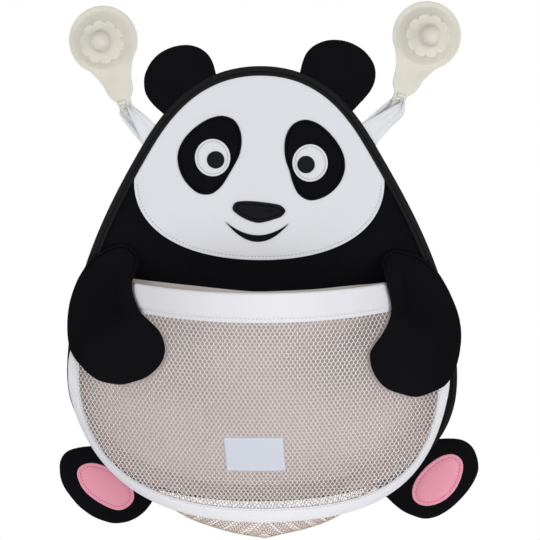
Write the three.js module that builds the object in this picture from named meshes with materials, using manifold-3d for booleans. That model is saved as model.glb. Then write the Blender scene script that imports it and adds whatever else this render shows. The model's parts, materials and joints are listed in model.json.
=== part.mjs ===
// Wall-hung bath toy organizer: a bound neoprene body with a sewn-on animal face, ears, arms and feet,
// a net pocket on its front, and two suction cups that hold it by ribbon loops.
//
// Millimetres. Everything is drawn with x to the right, y up and z out from the wall, and the whole
// is turned at the end so that +Z is up and the front faces -Y. The origin is on the back of the body.
import * as THREE from "three";
import { mergeVertices } from "three/addons/utils/BufferGeometryUtils.js";
import Module from "manifold-3d";

// Clearances
const SEAT_GAP = 0.3; // between pieces that are sewn or laid on each other
const FLAP_GAP = 0.8; // between the base of a flap and the bound edge that it is sewn to
const RUNNING_GAP = 0.4; // between a ribbon loop and the bar that turns in it
const ARM_CLEARANCE = 1.8; // between an arm and the pocket that it hugs

// Sheet thicknesses
const NEOPRENE = 3;
const BINDING_TAPE = 0.6;
const FACE_CLOTH = 0.8;
const PATCH_CLOTH = 0.8;
const EYE_CLOTH = 0.6;
const NOSE_CLOTH = 1;
const MOUTH_THREAD = 0.8;
const PAD_CLOTH = 0.8;
const RIM_CLOTH = 3;
const NET_THREAD = 1.2;
const BACK_NET_THREAD = 0.6;
const BAND_CLOTH = 2;
const LABEL_CLOTH = 0.8;
const RIBBON = 0.7;

// Body outline: head, shoulder and hip points of each half, with the reach of its curves
const HEAD_TOP = 186.7;
const HEAD_REACH = 62.5;
const BODY_HALVES = {
  left: { shoulder: 109.7, shoulderReach: 61, hip: 179.6, hipReach: 68 },
  right: { shoulder: 107, shoulderReach: 57, hip: 182.3, hipReach: 60 },
};
const SHOULDER_Y = 111.4;
const SHOULDER_SLOPE = 59.6; // degrees below level
const SHOULDER_REACH_UP = 34.5;
const HIP_Y = -104;
const HIP_REACH_UP = 89;
const BODY_BASE = -218;
const BASE_REACH = 136;
const BINDING_WIDTH = 8.7;
const BODY_STEPS = 12; // straight pieces in each of the six curves of the outline

// Face: the outermost points of each shape, as [x, y]
const FACE = { top: [0, 236], right: [113.4, 80.8], bottom: [1, 9.4], left: [-115.6, 81.3] };
const FACE_FULLNESS = 0.62;
const FACE_TUCK = 3; // how far inside the body's edge the face ends, under the binding
// Eye patches and nose: points that their edges curve through
const EYE_PATCHES = {
  left: [
    [-35, 141.5], [-17.2, 120.6], [-22.5, 98], [-38.3, 75.8],
    [-54, 70.3], [-71, 87.2], [-74.5, 110], [-58, 132],
  ],
  right: [
    [38.8, 138.3], [60, 128.5], [76.5, 104], [73.9, 84.2],
    [51, 65], [36.8, 69.3], [28, 89], [22.3, 112],
  ],
};
const EYE_CENTRES = { left: [-43.6, 103.7], right: [45.3, 98.8] };
const PUPIL_CENTRES = { left: [-40.8, 101.7], right: [41.6, 97.4] };
const EYE_RADIUS = 16.9;
const PUPIL_RADIUS = 8;
const NOSE = [[-19.4, 63.5], [6.9, 62], [20.5, 58], [19.3, 50.9], [-1.1, 44.7], [-20.8, 53.5], [-25, 59]];
const MOUTH_TIPS = [[-31.1, 44], [25.9, 42.1]];
const MOUTH_X = -3.2;
const MOUTH_UPPER = 32.5; // lowest point of the upper lip line
const MOUTH_LOWER = 26.6;

// Ears, feet and sole pads: points that their edges curve through, before the body's edge cuts them off
const EARS = {
  left: [
    [-43.9, 190.8], [-55.8, 203.6], [-72.9, 206.1], [-88.4, 200.8], [-100.5, 189.9],
    [-106.5, 174], [-102.3, 157.3], [-90.2, 144.8], [-68, 152], [-46, 172],
  ],
  right: [
    [86.6, 149.3], [97.6, 161.3], [104.4, 176.8], [99.9, 193.7], [87.1, 205.5],
    [70.4, 210.8], [56.5, 209.5], [44.4, 202.6], [42, 180], [64, 154],
  ],
};
const FEET = {
  left: [
    [-157, -166], [-172.6, -167.9], [-184.5, -175.5], [-186.7, -192.6], [-177.1, -212.7], [-157.7, -231.6],
    [-135.4, -239], [-118.3, -232.9], [-102.5, -219.4], [-95, -200], [-125, -176],
  ],
  right: [
    [138, -170], [112, -195], [118.9, -214.1], [137.4, -229.5], [154.5, -234.5], [174.1, -228.2],
    [192.2, -210], [202.4, -188.6], [200.9, -172.6], [186.3, -159.9], [166, -158.8],
  ],
};
const FOOT_PADS = {
  left: [
    [-154.3, -181.3], [-166.1, -182.9], [-171.5, -190.9], [-165.1, -207], [-149.6, -219.8],
    [-131.3, -226.5], [-118.3, -216.4], [-122, -200], [-138, -187.5],
  ],
  right: [
    [152.5, -184.3], [141, -208.4], [145, -217.7], [152.9, -222.4], [163.4, -221.1],
    [181.5, -205.7], [189.8, -184.3], [178.5, -172.3], [165.5, -175.6],
  ],
};
const PAD_CLEARANCE = 3.6; // between a sole pad and the bound edge, so that the foot can fold up
const FLAP_INSET = 1.5; // from the wall to the back of an ear or foot
const FLAP_AXIS = 1.2; // from the base of an ear, foot or ribbon to the line it folds on

// Pocket
const RIM_HALF = 128; // half the width of the mouth where the rim meets the body
const RIM_BOW = 82; // how far the middle of the rim stands out from its ends
const BOW_POWER = 2.1;
const RIM_TOP = -9.5;
const RIM_HEIGHT = 26.5;
const BAND_WIDTH = 13;
const BAND_TOP_X = 152;
const BAND_TOP_Y = -54;
const BAND_TURN_Y = -72;
const BAND_TWIST = 54; // degrees that the band turns sideways at most, between its hip and its base
const BAND_TWIST_SPAN = 1.15; // height over which it turns there and back, as a share of hip to base
const BAND_TWIST_SKEW = 0.7;
const POCKET_HALVES = { // half widths to the inner edge of the band, with the reach of its curves
  left: { hip: 167, hipReach: 56, baseReach: 140 },
  right: { hip: 164, hipReach: 92, baseReach: 114 },
};
const POCKET_HIP_Y = -90;
const POCKET_BASE = -210.5;
const BAND_HIP_DEPTH = 16;
const BAND_BASE_DEPTH = 60;
const BAND_EASE = 1.2;
const NET_BULGE = 8;
const NET_DROP_POWER = 3;
const NET_GAPS = { across: 34, down: 12 }; // half gaps
const GUSSET_GAPS = { across: 46, down: 4 };
const NET_OPENING = 0.66; // share of a net cell that is open
const SEAM_RISE = 10; // how much higher the gusset's seam lies on the body at the bottom
const GUSSET_SAG = 39.5;
const GUSSET_SAG_X = -4;
const GUSSET_SAG_HALF = 110;
const BACK_NET_INSET = 16.5; // from the inner edge of the band
const BACK_NET_TOP_INSET = 20; // from the ends of the rim
const BACK_NET_TOP = -11;
const BACK_NET_DIP = 8;
const BACK_NET_RISE = 26.5; // from the lowest point of the band's inner edge
const LABEL = { x: -5.4, y: -154.7, width: 52.5, height: 31 };

// Arms: the outer and inner edges from the top of the shoulder to the lowest point of the paw
const ARMS = {
  left: {
    outer: [[-126.7, 24.1], [-152, 13.5], [-170.5, -14], [-177.3, -50.7], [-165.3, -84.8], [-131, -97.8]],
    inner: [
      [-126.7, 24.1], [-111.8, 10.8], [-116.5, -8.1], [-109, -33.8],
      [-84.5, -61.2], [-95, -82.5], [-131, -97.8],
    ],
  },
  right: {
    outer: [[127, 18.6], [152.5, 9], [172.7, -20.5], [183.1, -57.3], [174.8, -92.9], [143.4, -109.2]],
    inner: [
      [127, 18.6], [111.4, 7.7], [114.4, -8.2], [119.4, -35.8],
      [97.8, -69.4], [106.5, -92], [143.4, -109.2],
    ],
  },
};
const ARM_STEPS = { along: 14, across: 6 };
const ARM_RAMP_TOP = 14; // height where an arm starts to rise from the body
const ARM_BLEND = 6; // how softly an arm bends where it meets the side of the pocket

// Suction cups and ribbons
const CUPS = {
  left: { centre: [-142.5, 209.8], tilt: 18.5 },
  right: { centre: [150.9, 213.9], tilt: -23.8 },
};
const CUP_RADIUS = 31.6;
const CUP_LIP = 2; // width of the flat ring that meets the wall
const CUP_EDGE = 1.6;
const CUP_HOLLOW = 3.4;
const CUP_DOME_RADIUS = 26;
const CUP_DOME = 9.6;
const FLOWER_RADIUS = 18.8;
const FLOWER_WAVE = 1.3;
const FLOWER_PETALS = 10;
const FLOWER_HEIGHT = 6;
const NUB_RADIUS = 9.2;
const NUB_HEIGHT = 15.6; // from the wall to the middle of the nub
const TAB_LENGTH = 64.5; // from the middle of a cup to the bar at the end of its tab
const TAB_ROOT = 23;
const TAB_ROOT_HALF = 21.5;
const TAB_WAIST = 41;
const TAB_WAIST_HALF = 13.2;
const TAB_SHOULDER = 52;
const TAB_SHOULDER_HALF = 10.8;
const TAB_NECK = 58;
const TAB_NECK_HALF = 5.8;
const TAB_THICKNESS = 3;
const EYE_WIDTH = 8; // the eye in the tab, beside the bar
const EYE_LENGTH = 3.8;
const BAR_RADIUS = 2;
const RIBBON_EYE_HALF = 3.6; // half of the gathered ribbon's width in the eye
const RIBBON_MERGE = 24; // from the bar to where the two layers of a ribbon meet
const RIBBON_BASES = {
  left: [[-108.1, 115], [-96.1, 134.1]],
  right: [[92.6, 134.6], [107.1, 116]],
};
const RIBBON_RUN_IN = 12; // drawn past the body's edge before it is cut off there

// Depths of the layers, worked out from the wall
const PANEL_EDGE_BACK = BINDING_TAPE + SEAT_GAP;
const PANEL_FRONT = PANEL_EDGE_BACK + NEOPRENE;
const FACE_BACK = PANEL_FRONT + SEAT_GAP;
const FACE_FRONT = FACE_BACK + FACE_CLOTH;
const BINDING_LEG = FACE_FRONT + SEAT_GAP;
const BINDING_FRONT = BINDING_LEG + BINDING_TAPE;
const PATCH_BACK = FACE_FRONT + SEAT_GAP;
const EYE_BACK = PATCH_BACK + PATCH_CLOTH + SEAT_GAP;
const PUPIL_BACK = EYE_BACK + EYE_CLOTH + SEAT_GAP;
const FLAP_FRONT = FLAP_INSET + NEOPRENE;
const FLAP_MIDDLE = FLAP_INSET + NEOPRENE / 2;
const ARM_SEAT = BINDING_FRONT + SEAT_GAP;
const RIM_BOTTOM = RIM_TOP - RIM_HEIGHT;
const RIM_END_DEPTH = PANEL_FRONT + SEAT_GAP;
const BAR_DEPTH = BAR_RADIUS + RUNNING_GAP + RIBBON + SEAT_GAP;

// Finishes
const finish = (color, roughness) => new THREE.MeshStandardMaterial({ color, roughness, metalness: 0 });
const BLACK_NEOPRENE = finish(0x131418, 0.85);
const BLACK_TAPE = finish(0x222327, 0.8);
const BLACK_THREAD = finish(0x101014, 0.6);
const WHITE_CLOTH = finish(0xdcdde1, 0.8);
const WHITE_BAND = finish(0xe9e9ee, 0.8);
const WHITE_NET = finish(0xe6e4e6, 0.7);
const PINK_CLOTH = finish(0xe394a8, 0.8);
const LABEL_WEAVE = finish(0xcdd2dc, 0.75);
const SATIN = finish(0xe3e4e9, 0.45);
const SOFT_RUBBER = finish(0xddd9cc, 0.4);

const wasm = await Module();
wasm.setup();

const organizer = new THREE.Group();
const hinges = {};

const { clamp, lerp, degToRad } = THREE.MathUtils;
const at = (x, y) => new THREE.Vector2(x, y);
const share = (value) => clamp(value, 0, 1);

function add(name, geometry, material) {
  const mesh = new THREE.Mesh(geometry, material);
  mesh.name = name;
  organizer.add(mesh);
}

// A geometry from points and triangles, with shared points merged and empty triangles left out
function closedGeometry(points, triangles) {
  const loose = new THREE.BufferGeometry().setFromPoints(points);
  loose.setIndex(triangles.flat());
  return withoutSlivers(loose);
}

function withoutSlivers(geometry) {
  const merged = mergeVertices(geometry, 1e-4);
  const kept = [];
  const index = merged.index.array;
  for (let i = 0; i < index.length; i += 3) {
    const [a, b, c] = index.slice(i, i + 3);
    if (a !== b && b !== c && c !== a) kept.push(a, b, c);
  }
  merged.setIndex(kept);
  merged.computeVertexNormals();
  return merged;
}

function solid(geometry) {
  const bare = geometry.clone();
  bare.deleteAttribute("normal");
  bare.deleteAttribute("uv");
  const merged = withoutSlivers(bare);
  return new wasm.Manifold(
    new wasm.Mesh({
      numProp: 3,
      vertProperties: merged.attributes.position.array,
      triVerts: new Uint32Array(merged.index.array),
    }),
  );
}

function geometryOf(manifold) {
  const mesh = manifold.getMesh();
  const geometry = new THREE.BufferGeometry();
  geometry.setAttribute("position", new THREE.BufferAttribute(mesh.vertProperties, 3));
  geometry.setIndex(new THREE.BufferAttribute(mesh.triVerts, 1));
  geometry.computeVertexNormals();
  return geometry;
}

// A flat sheet cut to a shape, or to a loop of points
function sheet(shape, back, thickness, curveSegments = 12) {
  const cut = Array.isArray(shape) ? new THREE.Shape(shape) : shape;
  const geometry = new THREE.ExtrudeGeometry(cut, { depth: thickness, bevelEnabled: false, curveSegments });
  return geometry.translate(0, 0, back);
}

// A rounded shape through its four outermost points, level at top and bottom, upright at the sides
function roundShape({ top, right, bottom, left }, fullness) {
  const shape = new THREE.Shape();
  const corner = (level, upright, levelFirst) => {
    const flat = [lerp(level[0], upright[0], fullness), level[1]];
    const steep = [upright[0], lerp(upright[1], level[1], fullness)];
    const end = levelFirst ? upright : level;
    const reaches = levelFirst ? [flat, steep] : [steep, flat];
    shape.bezierCurveTo(...reaches[0], ...reaches[1], ...end);
  };
  shape.moveTo(...top);
  corner(top, left, true);
  corner(bottom, left, false);
  corner(bottom, right, true);
  corner(top, right, false);
  return shape;
}

// A shape whose edge curves through a ring of points
function softShape(ring, steps = 32) {
  const edge = new THREE.CatmullRomCurve3(ring.map(([x, y]) => new THREE.Vector3(x, y, 0)), true);
  return edge.getSpacedPoints(steps).slice(1).map((p) => at(p.x, p.y));
}

function disc([x, y], radius) {
  return new THREE.Shape().absarc(x, y, radius, 0, 2 * Math.PI);
}

// Joins two equal grids of points, one in front of the other, into one closed slab.
// Rows run down and columns run to the right, seen from the front.
function slab(front, back) {
  const columns = front[0].length;
  const points = [...front.flat(), ...back.flat()];
  const behind = front.length * columns;
  const triangles = [];
  const number = (row, column) => row * columns + column;
  const wall = (a, b) => triangles.push([a, a + behind, b + behind], [a, b + behind, b]);
  for (let row = 0; row + 1 < front.length; row += 1) {
    for (let column = 0; column + 1 < columns; column += 1) {
      const a = number(row, column);
      const b = number(row + 1, column);
      const c = number(row + 1, column + 1);
      const d = number(row, column + 1);
      triangles.push([a, b, c], [a, c, d]);
      triangles.push([c + behind, b + behind, a + behind], [d + behind, c + behind, a + behind]);
    }
    wall(number(row, 0), number(row + 1, 0));
    wall(number(row + 1, columns - 1), number(row, columns - 1));
  }
  for (let column = 0; column + 1 < columns; column += 1) {
    wall(number(0, column + 1), number(0, column));
    wall(number(front.length - 1, column), number(front.length - 1, column + 1));
  }
  return closedGeometry(points, triangles);
}

// Joins rings of equal length into a skin. The rings close on themselves, or end in flat caps.
function loft(rings, closed) {
  const size = rings[0].length;
  const triangles = [];
  const links = closed ? rings.length : rings.length - 1;
  for (let ring = 0; ring < links; ring += 1) {
    const next = (ring + 1) % rings.length;
    for (let i = 0; i < size; i += 1) {
      const j = (i + 1) % size;
      const a = ring * size + i;
      const b = ring * size + j;
      const c = next * size + j;
      const d = next * size + i;
      triangles.push([a, b, c], [a, c, d]);
    }
  }
  const last = (rings.length - 1) * size;
  for (let i = 1; i + 1 < size && !closed; i += 1) {
    triangles.push([0, i + 1, i], [last, last + i, last + i + 1]);
  }
  return closedGeometry(rings.flat(), triangles);
}

// A net of staggered diamond gaps on a surface of (u, v), with u to the right and v down
function net(surface, { across, down }) {
  const points = [];
  const triangles = [];
  const corners = new Map();
  const place = (i, j) => {
    const [u, v] = [i / across, j / down];
    const step = 1e-3;
    const along = surface(Math.min(u + step, 1), v).sub(surface(Math.max(u - step, 0), v));
    const below = surface(u, Math.min(v + step, 1)).sub(surface(u, Math.max(v - step, 0)));
    const out = below.cross(along).normalize().multiplyScalar(NET_THREAD / 2);
    const middle = surface(u, v);
    points.push(middle.clone().add(out), middle.clone().sub(out));
    return points.length - 2;
  };
  const corner = (i, j) => {
    const key = `${i},${j}`;
    if (!corners.has(key)) corners.set(key, place(i, j));
    return corners.get(key);
  };
  const face = (a, b, c) => triangles.push([a, b, c], [c + 1, b + 1, a + 1]);
  const wall = (a, b) => triangles.push([a, a + 1, b + 1], [a, b + 1, b]);
  for (let i = 0; i <= across; i += 1) {
    for (let j = (i + 1) % 2; j <= down; j += 2) {
      const around = [[i - 1, j], [i, j + 1], [i + 1, j], [i, j - 1]];
      const inside = around.map(([p, q]) => p >= 0 && p <= across && q >= 0 && q <= down);
      if (inside.every(Boolean)) {
        const outer = around.map(([p, q]) => corner(p, q));
        const inner = around.map(([p, q]) => place(lerp(i, p, NET_OPENING), lerp(j, q, NET_OPENING)));
        outer.forEach((a, k) => {
          const next = (k + 1) % outer.length;
          face(a, outer[next], inner[next]);
          face(a, inner[next], inner[k]);
          wall(inner[next], inner[k]);
        });
      } else {
        const missing = inside.indexOf(false);
        const rest = [1, 2, 3].map((k) => around[(missing + k) % 4]);
        const [a, b, c] = rest.map(([p, q]) => corner(p, q));
        face(a, b, c);
        wall(c, a);
      }
    }
  }
  return closedGeometry(points, triangles);
}

// One half of the body's outline, from the top of the head to the base
function halfOutline({ shoulder, shoulderReach, hip, hipReach }) {
  const slope = degToRad(SHOULDER_SLOPE);
  const along = at(Math.cos(slope), -Math.sin(slope));
  const corner = at(shoulder, SHOULDER_Y);
  const curves = [
    [
      at(0, HEAD_TOP),
      at(HEAD_REACH, HEAD_TOP),
      corner.clone().addScaledVector(along, -SHOULDER_REACH_UP),
      corner,
    ],
    [
      corner,
      corner.clone().addScaledVector(along, shoulderReach),
      at(hip, HIP_Y + HIP_REACH_UP),
      at(hip, HIP_Y),
    ],
    [at(hip, HIP_Y), at(hip, HIP_Y - hipReach), at(BASE_REACH, BODY_BASE), at(0, BODY_BASE)],
  ];
  const steps = curves.map((ends) => new THREE.CubicBezierCurve(...ends).getSpacedPoints(BODY_STEPS));
  return steps.flatMap((points, i) => (i === 0 ? points : points.slice(1)));
}

// The body's outline as a counterclockwise loop, set in from its outer edge
function bodyOutline(inset) {
  const left = halfOutline(BODY_HALVES.left).map((p) => at(-p.x, p.y));
  const right = halfOutline(BODY_HALVES.right).reverse();
  const loop = [...left, ...right.slice(1, -1)];
  return loop.map((p, i) => {
    const along = loop[(i + 1) % loop.length].clone().sub(loop.at(i - 1)).normalize();
    return at(p.x - along.y * inset, p.y + along.x * inset);
  });
}

// What is cut away from a flap so that it ends at the bound edge
function bodyCutter(gap) {
  return solid(sheet(bodyOutline(-gap), -NEOPRENE, BINDING_FRONT + 2 * NEOPRENE));
}

// The middle of a ring of points
function middleOf(ring) {
  const sum = ring.reduce(([x, y], p) => [x + p[0], y + p[1]], [0, 0]);
  return sum.map((value) => value / ring.length);
}

// The line that a flap folds on: along its base, at the point of the body's edge nearest the flap
function flapHinge(centre) {
  const loop = bodyOutline(0);
  const middle = at(...centre);
  const gaps = loop.map((p) => p.distanceTo(middle));
  const nearest = gaps.indexOf(Math.min(...gaps));
  const before = loop.at(nearest - 1);
  const after = loop[(nearest + 1) % loop.length];
  const along = after.clone().sub(before).normalize();
  const out = at(along.y, -along.x);
  const foot = loop[nearest].clone().addScaledVector(out, FLAP_GAP + FLAP_AXIS);
  return { point: [foot.x, foot.y, FLAP_MIDDLE], axis: [along.x, along.y, 0] };
}

// The body panel: its edge is pressed thinner, so that the binding lies flush with the back
function makeBody() {
  const middle = sheet(bodyOutline(BINDING_WIDTH + SEAT_GAP), 0, PANEL_FRONT);
  const edge = sheet(bodyOutline(BINDING_TAPE + SEAT_GAP), PANEL_EDGE_BACK, NEOPRENE);
  add("body_panel", geometryOf(solid(middle).add(solid(edge))), BLACK_NEOPRENE);

  const section = [
    [0, 0],
    [BINDING_WIDTH, 0],
    [BINDING_WIDTH, BINDING_TAPE],
    [BINDING_TAPE, BINDING_TAPE],
    [BINDING_TAPE, BINDING_LEG],
    [BINDING_WIDTH, BINDING_LEG],
    [BINDING_WIDTH, BINDING_FRONT],
    [0, BINDING_FRONT],
  ];
  const sides = section.map(([inset, z]) => bodyOutline(inset).map((p) => new THREE.Vector3(p.x, p.y, z)));
  const rings = sides[0].map((_, i) => sides.map((side) => side[i]));
  add("panel_binding", loft(rings, true), BLACK_TAPE);
}

function makeFace() {
  const whole = solid(sheet(roundShape(FACE, FACE_FULLNESS), FACE_BACK, FACE_CLOTH, 20));
  const tucked = solid(sheet(bodyOutline(FACE_TUCK), FACE_BACK - 1, FACE_CLOTH + 2));
  add("face_panel", geometryOf(whole.intersect(tucked)), WHITE_CLOTH);
  for (const side of ["left", "right"]) {
    const patch = sheet(softShape(EYE_PATCHES[side]), PATCH_BACK, PATCH_CLOTH);
    add(`eye_patch_${side}`, patch, BLACK_NEOPRENE);
    add(`eye_white_${side}`, sheet(disc(EYE_CENTRES[side], EYE_RADIUS), EYE_BACK, EYE_CLOTH, 14), WHITE_CLOTH);
    const pupil = sheet(disc(PUPIL_CENTRES[side], PUPIL_RADIUS), PUPIL_BACK, EYE_CLOTH, 10);
    add(`pupil_${side}`, pupil, BLACK_NEOPRENE);
  }
  add("nose", sheet(softShape(NOSE), PATCH_BACK, NOSE_CLOTH), BLACK_NEOPRENE);
  const [left, right] = MOUTH_TIPS;
  const tips = (left[1] + right[1]) / 2;
  const mouth = new THREE.Shape();
  mouth.moveTo(...left);
  mouth.quadraticCurveTo(MOUTH_X, 2 * MOUTH_LOWER - tips, ...right);
  mouth.quadraticCurveTo(MOUTH_X, 2 * MOUTH_UPPER - tips, ...left);
  add("mouth", sheet(mouth, PATCH_BACK, MOUTH_THREAD), BLACK_THREAD);
}

function makeFlaps() {
  const cutter = bodyCutter(FLAP_GAP);
  const padCutter = bodyCutter(PAD_CLEARANCE);
  for (const side of ["left", "right"]) {
    const ear = solid(sheet(softShape(EARS[side], 48), FLAP_INSET, NEOPRENE));
    add(`ear_${side}`, geometryOf(ear.subtract(cutter)), BLACK_NEOPRENE);
    hinges[`ear_${side}`] = flapHinge(middleOf(EARS[side]));

    const foot = solid(sheet(softShape(FEET[side], 48), FLAP_INSET, NEOPRENE));
    add(`foot_${side}`, geometryOf(foot.subtract(cutter)), BLACK_NEOPRENE);
    const pad = solid(sheet(softShape(FOOT_PADS[side]), FLAP_FRONT + SEAT_GAP, PAD_CLOTH));
    add(`foot_pad_${side}`, geometryOf(pad.subtract(padCutter)), PINK_CLOTH);
    hinges[`foot_${side}`] = flapHinge(middleOf(FOOT_PADS[side]));
  }
}

// The inner edge of the band, from its left end down and round to its right end
function pocketEdge(steps) {
  const edge = new THREE.Path();
  edge.moveTo(-BAND_TOP_X, BAND_TOP_Y);
  alongPocket(edge, BAND_TURN_Y, BAND_TOP_X, BAND_TOP_Y, 0, POCKET_BASE);
  return edge.getSpacedPoints(steps);
}

// Draws a line round the pocket from its left end to its right end, set in from the band at the hips
function alongPocket(path, turnY, topX, topY, inset, base) {
  const { left, right } = POCKET_HALVES;
  const [from, to] = [inset - left.hip, right.hip - inset];
  path.quadraticCurveTo(from, turnY, from, POCKET_HIP_Y);
  path.bezierCurveTo(from, POCKET_HIP_Y - left.hipReach, -left.baseReach, base, 0, base);
  path.bezierCurveTo(right.baseReach, base, to, POCKET_HIP_Y - right.hipReach, to, POCKET_HIP_Y);
  path.quadraticCurveTo(to, turnY, topX, topY);
}

const EDGE_STEPS = 480;
const EDGE = pocketEdge(EDGE_STEPS);
// The edge's two halves from the bottom up, as distances from the middle
const EDGE_HALVES = {
  left: EDGE.filter((p) => p.x <= 0).map((p) => at(-p.x, p.y)).reverse(),
  right: EDGE.filter((p) => p.x >= 0),
};

// A point of the pocket's edge, u from 0 at its left end to 1 at its right end, moved outwards
function edgePoint(u, outwards) {
  const i = share(u) * EDGE_STEPS;
  const first = Math.min(Math.floor(i), EDGE_STEPS - 1);
  const here = EDGE[first].clone().lerp(EDGE[first + 1], i - first);
  const before = EDGE[Math.max(first - 1, 0)];
  const after = EDGE[Math.min(first + 2, EDGE_STEPS)];
  const along = after.clone().sub(before).normalize();
  return at(here.x + along.y * outwards, here.y - along.x * outwards);
}

// Half the width of the net at a height, on the side that x lies on
function netHalf(x, y) {
  if (y > BAND_TOP_Y) {
    const down = share((RIM_BOTTOM - y) / (RIM_BOTTOM - BAND_TOP_Y));
    return lerp(RIM_HALF + RIM_CLOTH / 2, BAND_TOP_X, down);
  }
  const half = x < 0 ? EDGE_HALVES.left : EDGE_HALVES.right;
  const above = half.findIndex((p) => p.y >= y);
  if (above < 1) return half[0].distanceTo(half[1]);
  const [low, high] = [half[above - 1], half[above]];
  return lerp(low.x, high.x, (y - low.y) / (high.y - low.y));
}

// Depth of the middle of the band at a height
function bandDepth(y) {
  const upper = share((RIM_BOTTOM - y) / (RIM_BOTTOM - POCKET_HIP_Y));
  const lower = share((POCKET_HIP_Y - y) / (POCKET_HIP_Y - POCKET_BASE));
  const start = RIM_END_DEPTH + RIM_CLOTH / 2;
  return lerp(start, BAND_HIP_DEPTH, upper) + (BAND_BASE_DEPTH - BAND_HIP_DEPTH) * lower ** BAND_EASE;
}

// How far the band turns sideways at a height, from 0 to 1
function bandTwist(y) {
  const up = share((y - POCKET_BASE) / (POCKET_HIP_Y - POCKET_BASE) / BAND_TWIST_SPAN ** (1 / BAND_TWIST_SKEW));
  return Math.sin(Math.PI * up ** BAND_TWIST_SKEW);
}

// Depth of the middle of the front net, and above it of the rim
function netDepth(x, y) {
  const drop = share((RIM_BOTTOM - y) / (RIM_BOTTOM - POCKET_BASE));
  const rim = RIM_END_DEPTH + RIM_BOW + RIM_CLOTH / 2;
  const middle = lerp(rim, BAND_BASE_DEPTH, drop ** NET_DROP_POWER) + NET_BULGE * Math.sin(Math.PI * drop);
  const edge = bandDepth(y);
  const bow = 1 - Math.abs(x / netHalf(x, y)) ** BOW_POWER;
  return edge + (middle - edge) * bow;
}

function makePocket() {
  const rimSteps = 40;
  const rimWall = (thickness) =>
    [RIM_TOP, RIM_BOTTOM].map((y) =>
      Array.from({ length: rimSteps + 1 }, (_, i) => {
        const s = (2 * i) / rimSteps - 1;
        const z = RIM_END_DEPTH + (RIM_BOW + thickness) * (1 - Math.abs(s) ** BOW_POWER);
        return new THREE.Vector3((RIM_HALF + thickness) * s, y, z);
      }),
    );
  add("pocket_rim", slab(rimWall(RIM_CLOTH), rimWall(0)), WHITE_BAND);

  const netEdge = SEAT_GAP + NET_THREAD / 2;
  const front = (u, v) => {
    const top = at((RIM_HALF + RIM_CLOTH / 2) * (2 * u - 1), RIM_BOTTOM - netEdge);
    const place = top.lerp(edgePoint(u, -netEdge), v);
    return new THREE.Vector3(place.x, place.y, netDepth(place.x, place.y));
  };
  add("front_net", net(front, NET_GAPS), WHITE_NET);

  const bandSteps = 60;
  const bandRings = Array.from({ length: bandSteps + 1 }, (_, i) => {
    const u = i / bandSteps;
    const inner = edgePoint(u, 0);
    const turn = degToRad(BAND_TWIST) * bandTwist(inner.y);
    const outer = edgePoint(u, BAND_WIDTH * Math.cos(turn));
    const z = bandDepth(inner.y);
    const back = z - BAND_WIDTH * Math.sin(turn);
    const lift = BAND_CLOTH / 2;
    return [
      new THREE.Vector3(inner.x, inner.y, z - lift),
      new THREE.Vector3(inner.x, inner.y, z + lift),
      new THREE.Vector3(outer.x, outer.y, back + lift),
      new THREE.Vector3(outer.x, outer.y, back - lift),
    ];
  });
  add("lower_band", loft(bandRings, false), WHITE_BAND);

  const gusset = (u, v) => {
    const edge = edgePoint(u, 0);
    const edgeDepth = bandDepth(edge.y);
    const low = share((edgeDepth - BAND_HIP_DEPTH) / (BAND_BASE_DEPTH - BAND_HIP_DEPTH));
    const offset = -netEdge - SEAM_RISE * low * v;
    const across = (edge.x - GUSSET_SAG_X) / GUSSET_SAG_HALF;
    const sag = GUSSET_SAG * Math.max(0, 1 - across ** 2) * Math.sin(Math.PI * v);
    const place = edgePoint(u, offset + sag);
    const start = edgeDepth - BAND_CLOTH / 2 - lerp(netEdge, SEAT_GAP, bandTwist(edge.y));
    const end = RIM_END_DEPTH + NET_THREAD / 2;
    return new THREE.Vector3(place.x, place.y, lerp(start, end, v));
  };
  add("gusset_net", net(gusset, GUSSET_GAPS), WHITE_NET);

  const backNet = new THREE.Shape();
  const topHalf = RIM_HALF - BACK_NET_TOP_INSET;
  backNet.moveTo(-topHalf, BACK_NET_TOP);
  alongPocket(backNet, BAND_TURN_Y, topHalf, BACK_NET_TOP, BACK_NET_INSET, POCKET_BASE + BACK_NET_RISE);
  backNet.quadraticCurveTo(0, BACK_NET_TOP - 2 * BACK_NET_DIP, -topHalf, BACK_NET_TOP);
  add("back_net", sheet(backNet, PANEL_FRONT + SEAT_GAP, BACK_NET_THREAD), WHITE_NET);

  const labelSide = (lift) =>
    [0, 0.5, 1].map((v) =>
      Array.from({ length: 7 }, (_, i) => {
        const x = LABEL.x + LABEL.width * (i / 6 - 0.5);
        const y = LABEL.y + LABEL.height * (0.5 - v);
        return new THREE.Vector3(x, y, netDepth(x, y) + NET_THREAD / 2 + SEAT_GAP + lift);
      }),
    );
  add("label", slab(labelSide(LABEL_CLOTH), labelSide(0)), LABEL_WEAVE);
}

// Depth of the back of an arm: on the binding at the shoulder, and over the rim, net and band below
function armDepth(x, y) {
  const onBand = bandDepth(y - BAND_WIDTH) + BAND_CLOTH / 2;
  const onNet = netDepth(x, y) + RIM_CLOTH / 2;
  const over = (onBand + onNet + Math.hypot(onBand - onNet, ARM_BLEND)) / 2 + ARM_CLEARANCE;
  const ramp = share((ARM_RAMP_TOP - y) / (ARM_RAMP_TOP - RIM_TOP));
  return lerp(ARM_SEAT, over, ramp * ramp * (3 - 2 * ramp));
}

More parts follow.
